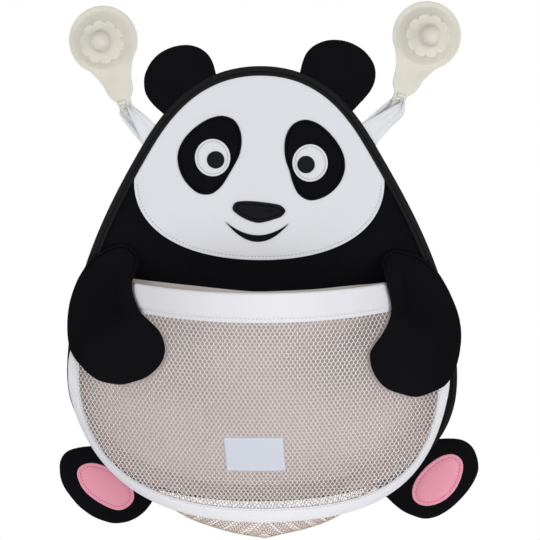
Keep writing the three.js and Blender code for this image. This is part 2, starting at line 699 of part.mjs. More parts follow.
function makeArms() {
  for (const side of ["left", "right"]) {
    const [outer, inner] = [ARMS[side].outer, ARMS[side].inner].map(
      (points) => new THREE.SplineCurve(points.map(([x, y]) => at(x, y))),
    );
    const [first, second] = side === "left" ? [outer, inner] : [inner, outer];
    const face = (lift) =>
      Array.from({ length: ARM_STEPS.along + 1 }, (_, i) =>
        Array.from({ length: ARM_STEPS.across + 1 }, (_unused, j) => {
          const s = i / ARM_STEPS.along;
          const place = first.getPoint(s).lerp(second.getPoint(s), j / ARM_STEPS.across);
          return new THREE.Vector3(place.x, place.y, armDepth(place.x, place.y) + lift);
        }),
      );
    add(`arm_${side}`, slab(face(NEOPRENE), face(0)), BLACK_NEOPRENE);
    const [x, y] = ARMS[side].outer[0];
    hinges[`arm_${side}`] = { point: [x, y, ARM_SEAT], axis: [-1, 0, 0] };
  }
}

// The cup's round parts about the z axis: the disc with its hollow, the wavy boss and the nub
function cupMoulding() {
  const profile = [
    [0, CUP_HOLLOW],
    [CUP_RADIUS * 0.55, CUP_HOLLOW * 0.8],
    [CUP_RADIUS - CUP_LIP, 0],
    [CUP_RADIUS, 0],
    [CUP_RADIUS, CUP_EDGE],
    [CUP_DOME_RADIUS + 1, CUP_EDGE + 1.2],
    [CUP_DOME_RADIUS - 0.6, CUP_DOME * 0.55],
    [CUP_DOME_RADIUS - 3.4, CUP_DOME * 0.85],
    [FLOWER_RADIUS, CUP_DOME],
    [0, CUP_DOME],
  ];
  const round = new THREE.LatheGeometry(profile.map(([r, z]) => at(r, z)), 28).rotateX(Math.PI / 2);
  const petalRing = (radius, wave, z) =>
    Array.from({ length: 4 * FLOWER_PETALS }, (_, i) => {
      const turn = (i / (4 * FLOWER_PETALS)) * 2 * Math.PI;
      const r = radius + wave * Math.cos(FLOWER_PETALS * turn);
      return new THREE.Vector3(r * Math.cos(turn), r * Math.sin(turn), z);
    });
  const base = CUP_DOME - 1;
  const flower = loft(
    [
      petalRing(FLOWER_RADIUS, FLOWER_WAVE, base),
      petalRing(FLOWER_RADIUS * 0.93, FLOWER_WAVE, base + FLOWER_HEIGHT * 0.5),
      petalRing(FLOWER_RADIUS * 0.72, FLOWER_WAVE * 0.8, base + FLOWER_HEIGHT * 0.85),
      petalRing(FLOWER_RADIUS * 0.42, FLOWER_WAVE * 0.3, base + FLOWER_HEIGHT),
    ],
    false,
  );
  const nub = new THREE.SphereGeometry(NUB_RADIUS, 14, 9).rotateX(Math.PI / 2).translate(0, 0, NUB_HEIGHT);
  return solid(round).add(solid(flower)).add(solid(nub));
}

// The tab that runs down from the cup, with its eye and the bar that closes it
function cupTab() {
  const plan = new THREE.Shape();
  plan.moveTo(-TAB_ROOT_HALF, -TAB_ROOT);
  plan.quadraticCurveTo(-TAB_WAIST_HALF, -CUP_RADIUS, -TAB_WAIST_HALF, -TAB_WAIST);
  plan.lineTo(-TAB_SHOULDER_HALF, -TAB_SHOULDER);
  plan.quadraticCurveTo(-TAB_NECK_HALF, -TAB_NECK, -TAB_NECK_HALF, -TAB_LENGTH);
  plan.lineTo(TAB_NECK_HALF, -TAB_LENGTH);
  plan.quadraticCurveTo(TAB_NECK_HALF, -TAB_NECK, TAB_SHOULDER_HALF, -TAB_SHOULDER);
  plan.lineTo(TAB_WAIST_HALF, -TAB_WAIST);
  plan.quadraticCurveTo(TAB_WAIST_HALF, -CUP_RADIUS, TAB_ROOT_HALF, -TAB_ROOT);
  const back = BAR_DEPTH - TAB_THICKNESS / 2;
  const plate = solid(sheet(plan, back, TAB_THICKNESS, 6));
  const eye = new THREE.BoxGeometry(EYE_WIDTH, EYE_LENGTH + BAR_RADIUS, 4 * TAB_THICKNESS);
  eye.translate(0, -TAB_LENGTH + (EYE_LENGTH - BAR_RADIUS) / 2, BAR_DEPTH);
  const bar = new THREE.CylinderGeometry(BAR_RADIUS, BAR_RADIUS, 2 * TAB_NECK_HALF, 12).rotateZ(Math.PI / 2);
  return plate.subtract(solid(eye)).add(solid(bar.translate(0, -TAB_LENGTH, BAR_DEPTH)));
}

// A ribbon bent round the bar of a tab: two layers that meet on their way to the body
function ribbonLoop() {
  const inner = BAR_RADIUS + RUNNING_GAP;
  const outer = inner + RIBBON;
  const end = 2 * TAB_LENGTH;
  const side = new THREE.Shape();
  side.moveTo(0, outer);
  side.absarc(0, 0, outer, Math.PI / 2, 1.5 * Math.PI);
  side.lineTo(RIBBON_MERGE, -RIBBON);
  side.lineTo(end, -RIBBON);
  side.lineTo(end, RIBBON);
  side.lineTo(RIBBON_MERGE, RIBBON);
  const hole = new THREE.Path();
  hole.moveTo(0, inner);
  hole.absarc(0, 0, inner, Math.PI / 2, 1.5 * Math.PI);
  hole.lineTo(RIBBON_MERGE, 0);
  side.holes.push(hole);
  const strip = new THREE.ExtrudeGeometry(side, { depth: 2 * end, bevelEnabled: false, curveSegments: 12 });
  const turn = new THREE.Matrix4().makeBasis(
    new THREE.Vector3(0, -1, 0),
    new THREE.Vector3(0, 0, 1),
    new THREE.Vector3(-1, 0, 0),
  );
  return strip.translate(0, 0, -end).applyMatrix4(turn).translate(0, -TAB_LENGTH, BAR_DEPTH);
}

function makeCups() {
  const moulding = cupMoulding().add(cupTab());
  const cutter = bodyCutter(FLAP_GAP);
  for (const side of ["left", "right"]) {
    const { centre, tilt } = CUPS[side];
    const placed = (geometry) => geometry.rotateZ(degToRad(tilt)).translate(centre[0], centre[1], 0);
    add(`suction_cup_${side}`, placed(geometryOf(moulding)), SOFT_RUBBER);

    const turn = degToRad(tilt);
    const down = at(Math.sin(turn), -Math.cos(turn));
    const bar = at(Math.cos(turn), Math.sin(turn));
    const eye = at(...centre).addScaledVector(down, TAB_LENGTH);
    hinges[`suction_cup_${side}`] = { point: [eye.x, eye.y, BAR_DEPTH], axis: [bar.x, bar.y, 0] };

    const [first, last] = RIBBON_BASES[side].map(([x, y]) => at(x, y));
    const edge = last.clone().sub(first).normalize();
    const inwards = at(edge.y, -edge.x).multiplyScalar(RIBBON_RUN_IN);
    const top = eye.clone().addScaledVector(down, -(BAR_RADIUS + RUNNING_GAP + 2 * RIBBON));
    const low = eye.clone().addScaledVector(down, BAR_RADIUS);
    const plan = [
      top.clone().addScaledVector(bar, -RIBBON_EYE_HALF),
      low.clone().addScaledVector(bar, -RIBBON_EYE_HALF),
      ...[first, last].map((p) => p.clone().add(inwards)),
      low.clone().addScaledVector(bar, RIBBON_EYE_HALF),
      top.clone().addScaledVector(bar, RIBBON_EYE_HALF),
    ];
    const cut = solid(sheet(plan, -NEOPRENE, 4 * BAR_DEPTH));
    const ribbon = solid(placed(ribbonLoop())).intersect(cut).subtract(cutter);
    add(`ribbon_${side}`, geometryOf(ribbon), SATIN);
    const fold = flapHinge(first.clone().lerp(last, 0.5).toArray());
    hinges[`ribbon_${side}`] = { point: [...fold.point.slice(0, 2), BAR_DEPTH], axis: fold.axis };
  }
}

makeBody();
makeFace();
makeFlaps();
makePocket();
makeArms();
makeCups();

organizer.name = "bath_toy_organizer";
organizer.rotation.x = Math.PI / 2;
organizer.userData.hinges = hinges; // point and axis of each fold, in the drawing's own axes

export default organizer;
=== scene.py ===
"""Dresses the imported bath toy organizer: cloth, nets, stitching, ribbons, suction cups, light and camera.

Sizes in the classes are millimetres, drawn as (x, z, depth): x to the right, z up, and depth out from the
wall. Blender's metres follow from them as (x, -depth, z) / 1000.
"""

import json
import logging
import math
from collections.abc import Callable, Sequence
from dataclasses import dataclass, field
from enum import Enum

import bpy
import numpy as np
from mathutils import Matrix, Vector, noise

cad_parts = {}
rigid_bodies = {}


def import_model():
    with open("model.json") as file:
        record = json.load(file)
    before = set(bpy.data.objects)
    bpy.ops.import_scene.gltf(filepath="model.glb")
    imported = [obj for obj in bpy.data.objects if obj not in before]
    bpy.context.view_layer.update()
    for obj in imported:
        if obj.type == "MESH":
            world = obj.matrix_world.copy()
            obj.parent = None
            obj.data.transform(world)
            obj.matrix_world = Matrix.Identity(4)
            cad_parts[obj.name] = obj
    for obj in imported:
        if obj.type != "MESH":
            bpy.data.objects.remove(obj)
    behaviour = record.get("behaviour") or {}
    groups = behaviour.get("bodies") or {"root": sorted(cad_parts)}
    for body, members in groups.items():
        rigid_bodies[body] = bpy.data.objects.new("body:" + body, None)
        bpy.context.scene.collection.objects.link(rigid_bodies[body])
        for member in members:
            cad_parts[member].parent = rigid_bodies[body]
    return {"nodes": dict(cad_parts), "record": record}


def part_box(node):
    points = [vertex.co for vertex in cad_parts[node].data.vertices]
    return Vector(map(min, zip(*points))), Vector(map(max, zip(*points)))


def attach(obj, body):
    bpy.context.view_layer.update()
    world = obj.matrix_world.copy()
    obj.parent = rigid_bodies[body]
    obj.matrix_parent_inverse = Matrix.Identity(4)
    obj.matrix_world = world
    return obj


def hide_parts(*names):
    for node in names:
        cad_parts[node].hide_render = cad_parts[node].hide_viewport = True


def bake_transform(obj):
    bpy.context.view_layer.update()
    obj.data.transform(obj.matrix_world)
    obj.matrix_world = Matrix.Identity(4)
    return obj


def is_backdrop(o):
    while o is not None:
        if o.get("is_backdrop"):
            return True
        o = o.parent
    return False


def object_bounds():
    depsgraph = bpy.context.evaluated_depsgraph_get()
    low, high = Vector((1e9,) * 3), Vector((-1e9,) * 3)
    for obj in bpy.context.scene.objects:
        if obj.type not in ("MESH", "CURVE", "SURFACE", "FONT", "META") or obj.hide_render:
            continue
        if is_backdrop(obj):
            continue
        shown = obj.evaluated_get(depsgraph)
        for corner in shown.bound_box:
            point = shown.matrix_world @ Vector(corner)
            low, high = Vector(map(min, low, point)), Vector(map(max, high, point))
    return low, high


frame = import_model()
CAD_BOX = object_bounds()

log = logging.getLogger("organizer")

MM = 0.001
SIDES = ("left", "right")
Piece = bpy.types.Object
Depth = Callable[[float, float], float]  # a depth, or a share, by x and z


# Small helpers


def linear(colour: str) -> tuple[float, float, float, float]:
    """Turns an sRGB hex colour into linear RGBA.

    Args:
        colour: six hex digits, with or without a leading #.

    Returns:
        Linear red, green, blue and an alpha of 1.
    """
    digits = colour.lstrip("#")
    parts = [int(digits[i:i + 2], 16) / 255 for i in (0, 2, 4)]
    low, cut = 12.92, 0.04045
    values = [c / low if c <= cut else ((c + 0.055) / 1.055) ** 2.4 for c in parts]
    return values[0], values[1], values[2], 1.0


def add_node(tree: bpy.types.NodeTree, kind: str, inputs: dict | None = None,
             **settings: object) -> bpy.types.Node:
    """Adds one node to a tree with its settings, its values and its links.

    Args:
        tree: the tree that takes the node.
        kind: the node's type name.
        inputs: what each input takes, by its name or number: a plain value, an output socket, or a node
            for the first of its outputs.
        settings: properties of the node itself.

    Returns:
        The new node.
    """
    node = tree.nodes.new(kind)
    for key, value in settings.items():
        setattr(node, key, value)
    for key, value in (inputs or {}).items():
        source = value.outputs[0] if isinstance(value, bpy.types.Node) else value
        if isinstance(source, bpy.types.NodeSocket):
            tree.links.new(source, node.inputs[key])
        else:
            node.inputs[key].default_value = source
    return node


def blank_material(name: str) -> tuple[bpy.types.Material, bpy.types.NodeTree]:
    """Starts a material with an empty node tree.

    Args:
        name: the material's name.

    Returns:
        The material and its tree.
    """
    material = bpy.data.materials.new(name)
    material.use_nodes = True
    material.node_tree.nodes.clear()
    return material, material.node_tree


def share(value: float) -> float:
    """Keeps a value between 0 and 1."""
    return min(max(value, 0.0), 1.0)


def soft(value: float) -> float:
    """Eases a value from 0 to 1."""
    t = share(value)
    return t * t * (3 - 2 * t)


def mix(a: float, b: float, t: float) -> float:
    """Goes from a to b as t goes from 0 to 1."""
    return a + (b - a) * t


def ripple(x: float, y: float, length: float, seed: float) -> float:
    """Smooth unevenness of cloth between about -1 and 1, with bumps of a length in millimetres."""
    return noise.noise(Vector((x / length, y / length, seed)))


def to_metres(points: np.ndarray) -> np.ndarray:
    """Turns (x, z, depth) in millimetres into Blender's metres."""
    points = np.asarray(points, float)
    return np.stack([points[..., 0], -points[..., 2], points[..., 1]], -1) * MM


# Finishes


class Weave(Enum):
    """How a cloth is made, which decides the pattern on its surface."""

    JERSEY = "jersey"  # fine upright wales
    PLAIN = "plain"  # threads over and under each other
    TWILL = "twill"  # slanting ribs
    SATIN = "satin"  # long floats that shine along one way
    RIBBED = "ribbed"  # ribs along the length of a tape


@dataclass(frozen=True)
class Cloth:
    """A cloth: its colour, unevenness, thread pattern, painted shade between its threads, and nap.

    The thread spacing is drawn up to twice as coarse as the real one, which is finer than a pixel.
    """

    name: str
    colour: str
    weave: Weave
    thread_mm: float
    bump_mm: float
    roughness: float
    mottle: float = 0.06  # how uneven its colour is, over what distance
    sheen: float = 0.0
    sheen_colour: str = "#FFFFFF"
    gloss: float = 0.35
    # painted shade: the gaps between the threads are drawn darker in colour by this share
    gap_shade: float = 0.04  # how much darker the gaps between the threads are
    along_surface: bool = False  # whether the threads follow the piece's UV map
    mottle_mm: float = 50.0

    def make(self) -> bpy.types.Material:
        """Builds the material.

        Returns:
            A node material named for the cloth.
        """
        material, tree = blank_material(self.name)
        place = add_node(tree, "ShaderNodeTexCoord").outputs["UV" if self.along_surface else "Object"]
        # Blender's wave texture repeats 20 / (2 pi) times per unit of its scale
        wave_scale = 2 * math.pi / 20 / (self.thread_mm * MM)
        turn = {Weave.TWILL: (0, math.radians(32), math.radians(58) if self.along_surface else 0)}
        turned = add_node(tree, "ShaderNodeMapping",
                          {"Vector": place, "Rotation": turn.get(self.weave, (0, 0, 0))})
        wales, rows = (add_node(tree, "ShaderNodeTexWave",
                                {"Vector": turned, "Scale": scale, "Distortion": 0.6, "Detail": 1.0,
                                 "Detail Scale": 1.5}, bands_direction=way)
                       for scale, way in ((wave_scale, "X"),
                                          (wave_scale * 0.8, "Y" if self.along_surface else "Z")))
        across, down = {Weave.JERSEY: (1.0, 0.35), Weave.PLAIN: (1.0, 1.0), Weave.TWILL: (1.0, 0.12),
                        Weave.SATIN: (1.0, 0.05), Weave.RIBBED: (0.15, 1.0)}[self.weave]
        upright = add_node(tree, "ShaderNodeMath",
                           {0: wales.outputs["Fac"], 1: across}, operation="MULTIPLY")
        weave = add_node(tree, "ShaderNodeMath",
                         {0: rows.outputs["Fac"], 1: down, 2: upright}, operation="MULTIPLY_ADD")
        lint = add_node(tree, "ShaderNodeTexNoise",
                        {"Vector": place, "Scale": 0.6 / (self.thread_mm * MM), "Detail": 3.0,
                         "Roughness": 0.65})
        height = add_node(tree, "ShaderNodeMath",
                          {0: lint.outputs["Fac"], 1: 1.2, 2: weave}, operation="MULTIPLY_ADD")
        broad = add_node(tree, "ShaderNodeTexNoise",
                         {"Vector": place, "Scale": 1 / (self.mottle_mm * MM), "Detail": 2.0,
                          "Roughness": 0.5})
        shade = add_node(tree, "ShaderNodeMath",
                         {0: broad.outputs["Fac"], 1: lint.outputs["Fac"]}, operation="ADD")
        tone = add_node(tree, "ShaderNodeMapRange",
                        {"Value": shade, "From Min": 0.7, "From Max": 1.3, "To Min": 1 - self.mottle,
                         "To Max": 1 + self.mottle})
        # Painted shade: the colour darkens where the weave is low, between the threads
        deep = add_node(tree, "ShaderNodeMath", {0: tone, 1: 1 - self.gap_shade}, operation="MULTIPLY")
        shadow = add_node(tree, "ShaderNodeMapRange",
                          {"Value": weave, "To Min": deep, "To Max": tone, "From Min": 0.0,
                           "From Max": across + down})
        colour = add_node(tree, "ShaderNodeVectorMath",
                          {0: linear(self.colour)[:3], 1: shadow}, operation="MULTIPLY")
        bump = add_node(tree, "ShaderNodeBump",
                        {"Height": height, "Strength": 0.6, "Distance": self.bump_mm * MM})
        surface = add_node(tree, "ShaderNodeBsdfPrincipled",
                           {"Base Color": colour, "Normal": bump, "Roughness": self.roughness,
                            "Specular IOR Level": self.gloss, "Sheen Weight": self.sheen,
                            "Sheen Roughness": 0.5, "Sheen Tint": linear(self.sheen_colour)})
        if self.weave is Weave.SATIN:
            surface.inputs["Anisotropic"].default_value = 0.5
        add_node(tree, "ShaderNodeOutputMaterial", {"Surface": surface})
        return material


@dataclass(frozen=True)
class Thread:
    """Sewing or knitting thread: filaments twisted together, with a low gloss."""

    name: str
    colour: str
    twist_mm: float
    roughness: float = 0.55
    gloss: float = 0.35

    def make(self) -> bpy.types.Material:
        """Builds the material.

        Returns:
            A node material named for the thread.
        """
        material, tree = blank_material(self.name)
        place = add_node(tree, "ShaderNodeTexCoord").outputs["Object"]
        strands = add_node(tree, "ShaderNodeTexNoise",
                           {"Vector": place, "Scale": 1 / (self.twist_mm * MM), "Detail": 2.0,
                            "Roughness": 0.6})
        tone = add_node(tree, "ShaderNodeMapRange",
                        {"Value": strands.outputs["Fac"], "From Min": 0.3, "From Max": 0.7, "To Min": 0.88,
                         "To Max": 1.06})
        colour = add_node(tree, "ShaderNodeVectorMath",
                          {0: linear(self.colour)[:3], 1: tone}, operation="MULTIPLY")
        bump = add_node(tree, "ShaderNodeBump",
                        {"Height": strands.outputs["Fac"], "Strength": 0.4, "Distance": 0.15 * MM})
        surface = add_node(tree, "ShaderNodeBsdfPrincipled",
                           {"Base Color": colour, "Normal": bump, "Roughness": self.roughness,
                            "Specular IOR Level": self.gloss})
        add_node(tree, "ShaderNodeOutputMaterial", {"Surface": surface})
        return material


@dataclass(frozen=True)
class SoftVinyl:
    """Milky soft vinyl as it leaves the mould: light scatters inside it, with a silky surface."""

    name: str
    colour: str
    deep_colour: str
    roughness: float
    cloud_mm: float = 18.0
    grain_mm: float = 1.2

    def make(self) -> bpy.types.Material:
        """Builds the material.

        Returns:
            A node material named for the vinyl.
        """
        material, tree = blank_material(self.name)
        place = add_node(tree, "ShaderNodeTexCoord").outputs["Object"]
        clouds = add_node(tree, "ShaderNodeTexNoise",
                          {"Vector": place, "Scale": 1 / (self.cloud_mm * MM), "Detail": 3.0,
                           "Roughness": 0.55})
        colour = add_node(tree, "ShaderNodeMix",
                          {0: clouds.outputs["Fac"], 6: linear(self.deep_colour), 7: linear(self.colour)},
                          data_type="RGBA")
        grain = add_node(tree, "ShaderNodeTexNoise",
                         {"Vector": place, "Scale": 1 / (self.grain_mm * MM), "Detail": 2.0})
        bump = add_node(tree, "ShaderNodeBump",
                        {"Height": grain.outputs["Fac"], "Strength": 0.12, "Distance": 0.1 * MM})
        surface = add_node(tree, "ShaderNodeBsdfPrincipled",
                           {"Base Color": colour.outputs[2], "Normal": bump, "Roughness": self.roughness,
                            "IOR": 1.52, "Specular IOR Level": 0.4, "Subsurface Weight": 0.35,
                            "Subsurface Scale": 0.0025, "Subsurface Radius": (1.0, 0.8, 0.55)})
        add_node(tree, "ShaderNodeOutputMaterial", {"Surface": surface})
        return material


class Finishes:
    """Every finish of the organizer, made once and handed out by name."""

    # Neoprene laminated with a black jersey: matte, with a faint grey nap
    neoprene = Cloth("black jersey-faced neoprene", "#08080C", Weave.JERSEY, 1.1, 0.12, 0.9, 0.2,
                     sheen=0.035, sheen_colour="#5A5C66", gloss=0.08)
    # Knit of the pupils and the nose, a little greyer than the neoprene
    pupil = Cloth("charcoal knit cloth", "#15151A", Weave.JERSEY, 1.0, 0.08, 0.85, 0.12,
                  sheen=0.05, sheen_colour="#70727C", gloss=0.12)
    # Polyester tape with ribs along it, a little greyer than the neoprene, with painted shade between its
    # ribs
    tape = Cloth("black ribbed binding tape", "#121214", Weave.RIBBED, 1.3, 0.3, 0.75, 0.12,
                 sheen=0.04, sheen_colour="#8A8C94", gloss=0.15, gap_shade=0.35, along_surface=True)
    # Smooth knit over thin foam, cool white
    face_cloth = Cloth("white smooth knit cloth", "#DEDFE4", Weave.JERSEY, 0.9, 0.05, 0.7, 0.015,
                       sheen=0.05, gloss=0.3)
    # Plain woven cotton blend of the rim and the seam band, a little brighter than the face
    band_cloth = Cloth("white woven band cloth", "#E9E9EE", Weave.PLAIN, 0.9, 0.06, 0.7, 0.02,
                       sheen=0.05, gloss=0.3)
    # A dense tricot knit behind the net, with its small holes drawn as dots of painted shade
    lining = Cloth("beige tricot lining", "#DECBC3", Weave.PLAIN, 1.5, 0.12, 0.85, 0.04, gloss=0.2, gap_shade=0.18)
    # Twill tape that hems the lining, smoother and a little greyer
    lining_hem = Cloth("beige hem tape", "#C9C1BA", Weave.TWILL, 0.9, 0.06, 0.8, 0.03, gloss=0.2)
    # Brushed knit of the soles, with a pale nap
    pink_cloth = Cloth("pink smooth cloth", "#EA9CB0", Weave.JERSEY, 0.9, 0.06, 0.75, 0.03,
                       sheen=0.08, sheen_colour="#FFD9E2", gloss=0.3)
    # Damask weave of fine slanting ribs, bluish white and faintly glossy
    label_cloth = Cloth("pale woven label", "#D2D7E2", Weave.TWILL, 0.8, 0.06, 0.65, 0.03, gloss=0.35)
    # Polyester satin, whose long floats shine along the ribbon
    satin = Cloth("white satin ribbon", "#DEDFE4", Weave.SATIN, 0.8, 0.03, 0.38, 0.015,
                  sheen=0.1, gloss=0.5, along_surface=True)
    # Textured polyester yarn, warp knitted: matte white strands
    net_yarn = Thread("white knitted polyester mesh", "#E8E6E8", 0.9)
    # Painted shade: the same mesh, darker and warmer in its colour where it lies under and behind the pocket
    shaded_gusset_yarn = Thread("knitted mesh with painted shade", "#DFCDC0", 0.9)
    # Spun polyester for the binding and the mouth, a little shinier than the cloth round it
    black_thread = Thread("black polyester thread", "#070709", 0.5, 0.8, 0.1)
    # Painted shade: black thread made darker still, for the shade where stitches sink into thick cloth and
    # hardly any light comes back from them
    sunk_shade_thread = Thread("black thread with painted sunk shade", "#010102", 0.5, 0.95, 0.02)
    # Spun polyester on the label and the hem, brighter than the cloth
    white_thread = Thread("white polyester thread", "#F0F0F4", 0.5, 0.5)
    # Painted shade: the same white thread, greyer in its colour for the shade of the rim and the band that it
    # sinks in
    rim_shade_thread = Thread("white thread with painted rim shade", "#C9CAD1", 0.5, 0.5)
    # Painted shade: the same white thread, greyer still in its colour for the shade of the face's turned edge
    face_shade_thread = Thread("shaded white thread", "#9A9CA6", 0.5, 0.5)
    # Grey polyester round the whites of the eyes
    dark_grey_thread = Thread("grey polyester thread", "#5E606A", 0.5, 0.6)
    # Deep pink polyester that shows as a darker line on the soles
    pink_thread = Thread("pink polyester thread", "#C9647D", 0.5, 0.5)
    # Plasticised vinyl, injection moulded: milky, silky, lit from inside
    vinyl = SoftVinyl("milky soft vinyl", "#E0DDD2", "#D4D0C3", 0.38)

    def __init__(self) -> None:
        """Starts with no material made."""
        self._made: dict[str, bpy.types.Material] = {}

    def get(self, finish: Cloth | Thread | SoftVinyl) -> bpy.types.Material:
        """Hands out a finish's material, and makes it the first time."""
        if finish.name not in self._made:
            self._made[finish.name] = finish.make()
        return self._made[finish.name]


FINISHES = Finishes()


# Curves and outlines


def spline(points: Sequence[Sequence[float]], per_span: int, closed: bool = False) -> np.ndarray:
    """Draws an even curve through points.

    Args:
        points: the points, of any dimension.
        per_span: how many steps lie between two neighbours.
        closed: whether the curve ends where it starts.

    Returns:
        The curve's points. A closed curve doesn't repeat its first point.
    """
    p = np.asarray(points, float)
    n = len(p)
    spans = n if closed else n - 1
    t = np.linspace(0, 1, per_span, endpoint=False)[:, None]
    out = []
    for i in range(spans):
        ends = [(i + k) % n if closed else min(max(i + k, 0), n - 1) for k in (-1, 0, 1, 2)]
        a, b, c, d = p[ends]
        v0, v1 = (c - a) / 2, (d - b) / 2
        out.append((2 * b - 2 * c + v0 + v1) * t ** 3 + (3 * c - 3 * b - 2 * v0 - v1) * t ** 2 + v0 * t + b)
    curve = np.concatenate(out)
    return curve if closed else np.vstack([curve, p[-1]])


def bezier(points: Sequence[Sequence[float]], count: int = 300) -> np.ndarray:
    """Draws a Bezier curve.

    Args:
        points: its start, the points that it is drawn towards, and its end.
        count: how many points it gets.

    Returns:
        The curve's points.
    """
    t = np.linspace(0, 1, count)[:, None]
    level = [np.asarray(p, float) + 0 * t for p in points]
    while len(level) > 1:
        level = [a + (b - a) * t for a, b in zip(level, level[1:])]
    return level[0]


def ring_loop(points: Sequence[Sequence[float]], step: float) -> np.ndarray:
    """Draws a loop through a ring of points.

    Args:
        points: the ring, either way round.
        step: the spacing of the new points.

    Returns:
        A counterclockwise loop.
    """
    loop = spline(points, 12, closed=True)
    return even_loop(loop if area_of(loop) > 0 else loop[::-1], step)


def even_loop(loop: np.ndarray, step: float) -> np.ndarray:
    """Spaces a loop's points evenly, about a step apart."""
    return spaced(loop, round(length_of(back_to_start(loop)) / step), closed=True)


def back_to_start(loop: np.ndarray) -> np.ndarray:
    """A loop's points with the first one again at the end."""
    return np.vstack([loop, loop[:1]])


def spaced(points: np.ndarray, count: int, closed: bool = False) -> np.ndarray:
    """Spaces points evenly along a line of points.

    Args:
        points: the line.
        count: how many steps the new line has.
        closed: whether the line ends where it starts.

    Returns:
        count points of a closed line, or count + 1 points of an open one.
    """
    line = back_to_start(points) if closed else np.asarray(points, float)
    run = run_of(line)
    at = np.linspace(0, run[-1], count + 1)
    new = np.stack([np.interp(at, run, line[:, k]) for k in range(line.shape[1])], 1)
    return new[:-1] if closed else new


def run_of(points: np.ndarray) -> np.ndarray:
    """The distance along a line of points from its start to each of them."""
    return np.concatenate([[0], np.cumsum(np.linalg.norm(np.diff(points, axis=0), axis=1))])


def length_of(points: np.ndarray) -> float:
    """The length of an open line of points."""
    return float(np.linalg.norm(np.diff(points, axis=0), axis=1).sum())


def area_of(loop: np.ndarray) -> float:
    """The area inside a flat loop, positive where it runs counterclockwise."""
    x, y = loop[:, 0], loop[:, 1]
    return float((x * np.roll(y, -1) - np.roll(x, -1) * y).sum() / 2)


def node_outline(node: str, step: float, corner: float = 35.0) -> np.ndarray:
    """Reads the outer edge of a flat CAD node's front and draws it smoothly.

    Args:
        node: the CAD node's name.
        step: the new spacing in millimetres.
        corner: a turn of more than this many degrees stays a corner.

    Returns:
        A counterclockwise loop of (x, z) in millimetres.
    """
    mesh = frame["nodes"][node].data
    points = np.array([v.co[:] for v in mesh.vertices]) / MM
    front = points[:, 1].min()
    key = {i: (round(p[0], 3), round(p[2], 3)) for i, p in enumerate(points) if p[1] < front + 0.01}
    after: dict[tuple, tuple] = {}
    edges: set[tuple] = set()
    for polygon in mesh.polygons:
        if all(v in key for v in polygon.vertices):
            ring = [key[v] for v in polygon.vertices]
            edges.update(zip(ring, ring[1:] + ring[:1]))
    for a, b in edges:
        if (b, a) not in edges:
            after[a] = b
    loops = []
    while after:
        start = next(iter(after))
        loop = [start]
        here = after.pop(start)
        while here != start and here in after:
            loop.append(here)
            here = after.pop(here)
        loops.append(np.array(loop))
    outer = max(loops, key=lambda loop: abs(area_of(loop)))
    if area_of(outer) < 0:
        outer = outer[::-1]
    return smooth_loop(outer, step, corner)


def smooth_loop(loop: np.ndarray, step: float, corner: float) -> np.ndarray:
    """Redraws a loop of straight pieces as even curves between its corners.

    Args:
        loop: the loop's points.
        step: the new spacing.
        corner: a turn of more than this many degrees stays a corner.

    Returns:
        The new loop, which runs the same way.
    """
    gap = np.linalg.norm(loop - np.roll(loop, 1, 0), axis=1)
    loop = loop[gap > 0.4]
    ahead = np.roll(loop, -1, 0) - loop
    angle = np.arctan2(ahead[:, 1], ahead[:, 0])
    turn = np.degrees((angle - np.roll(angle, 1) + math.pi) % (2 * math.pi) - math.pi)
    corners = np.flatnonzero(np.abs(turn) > corner)
    if len(corners) == 0:
        return even_loop(spline(loop, 8, closed=True), step)
    loop = np.roll(loop, -corners[0], 0)
    ends = list(corners - corners[0]) + [len(loop)]
    ring = back_to_start(loop)
    pieces = []
    for first, last in zip(ends, ends[1:]):
        curve = spline(ring[first:last + 1], 8)
        pieces.append(spaced(curve, max(2, round(length_of(curve) / step)))[:-1])
    return np.concatenate(pieces)


def inward(loop: np.ndarray) -> np.ndarray:
    """The direction into a counterclockwise loop at each of its points."""
    along = np.roll(loop, -1, 0) - np.roll(loop, 1, 0)
    along /= np.maximum(np.linalg.norm(along, axis=1, keepdims=True), 1e-9)
    return np.stack([-along[:, 1], along[:, 0]], 1)


def seam_line(loop: np.ndarray, inset: float, depth: float) -> np.ndarray:
    """A line for stitches all round inside a loop, at a depth."""
    path = loop + inward(loop) * inset
    return back_to_start(np.column_stack([path, np.full(len(path), depth)]))


def stretch(path: np.ndarray, kept: np.ndarray) -> np.ndarray:
    """The one stretch of a loop's points that are kept, from its start to its end."""
    start = int(np.flatnonzero(kept & ~np.roll(kept, 1))[0])
    return np.roll(path, -start, 0)[:int(kept.sum())]


def node_back(node: str) -> float:
    """The depth of a CAD node's back."""
    return -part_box(node)[1][1] / MM


def fold_line(joint: str) -> tuple[np.ndarray, np.ndarray]:
    """Where a flap or ribbon folds.

    Args:
        joint: the joint's name.

    Returns:
        The fold's point in metres, and the way out from the body.
    """
    row = next(j for j in frame["record"]["behaviour"]["joints"] if j["name"] == joint)
    point, axis = np.array(row["pos_m"]), np.array(row["axis"])
    out = np.cross(axis, (0, 1, 0))
    return point, out if out @ point > 0 else -out


# Meshes


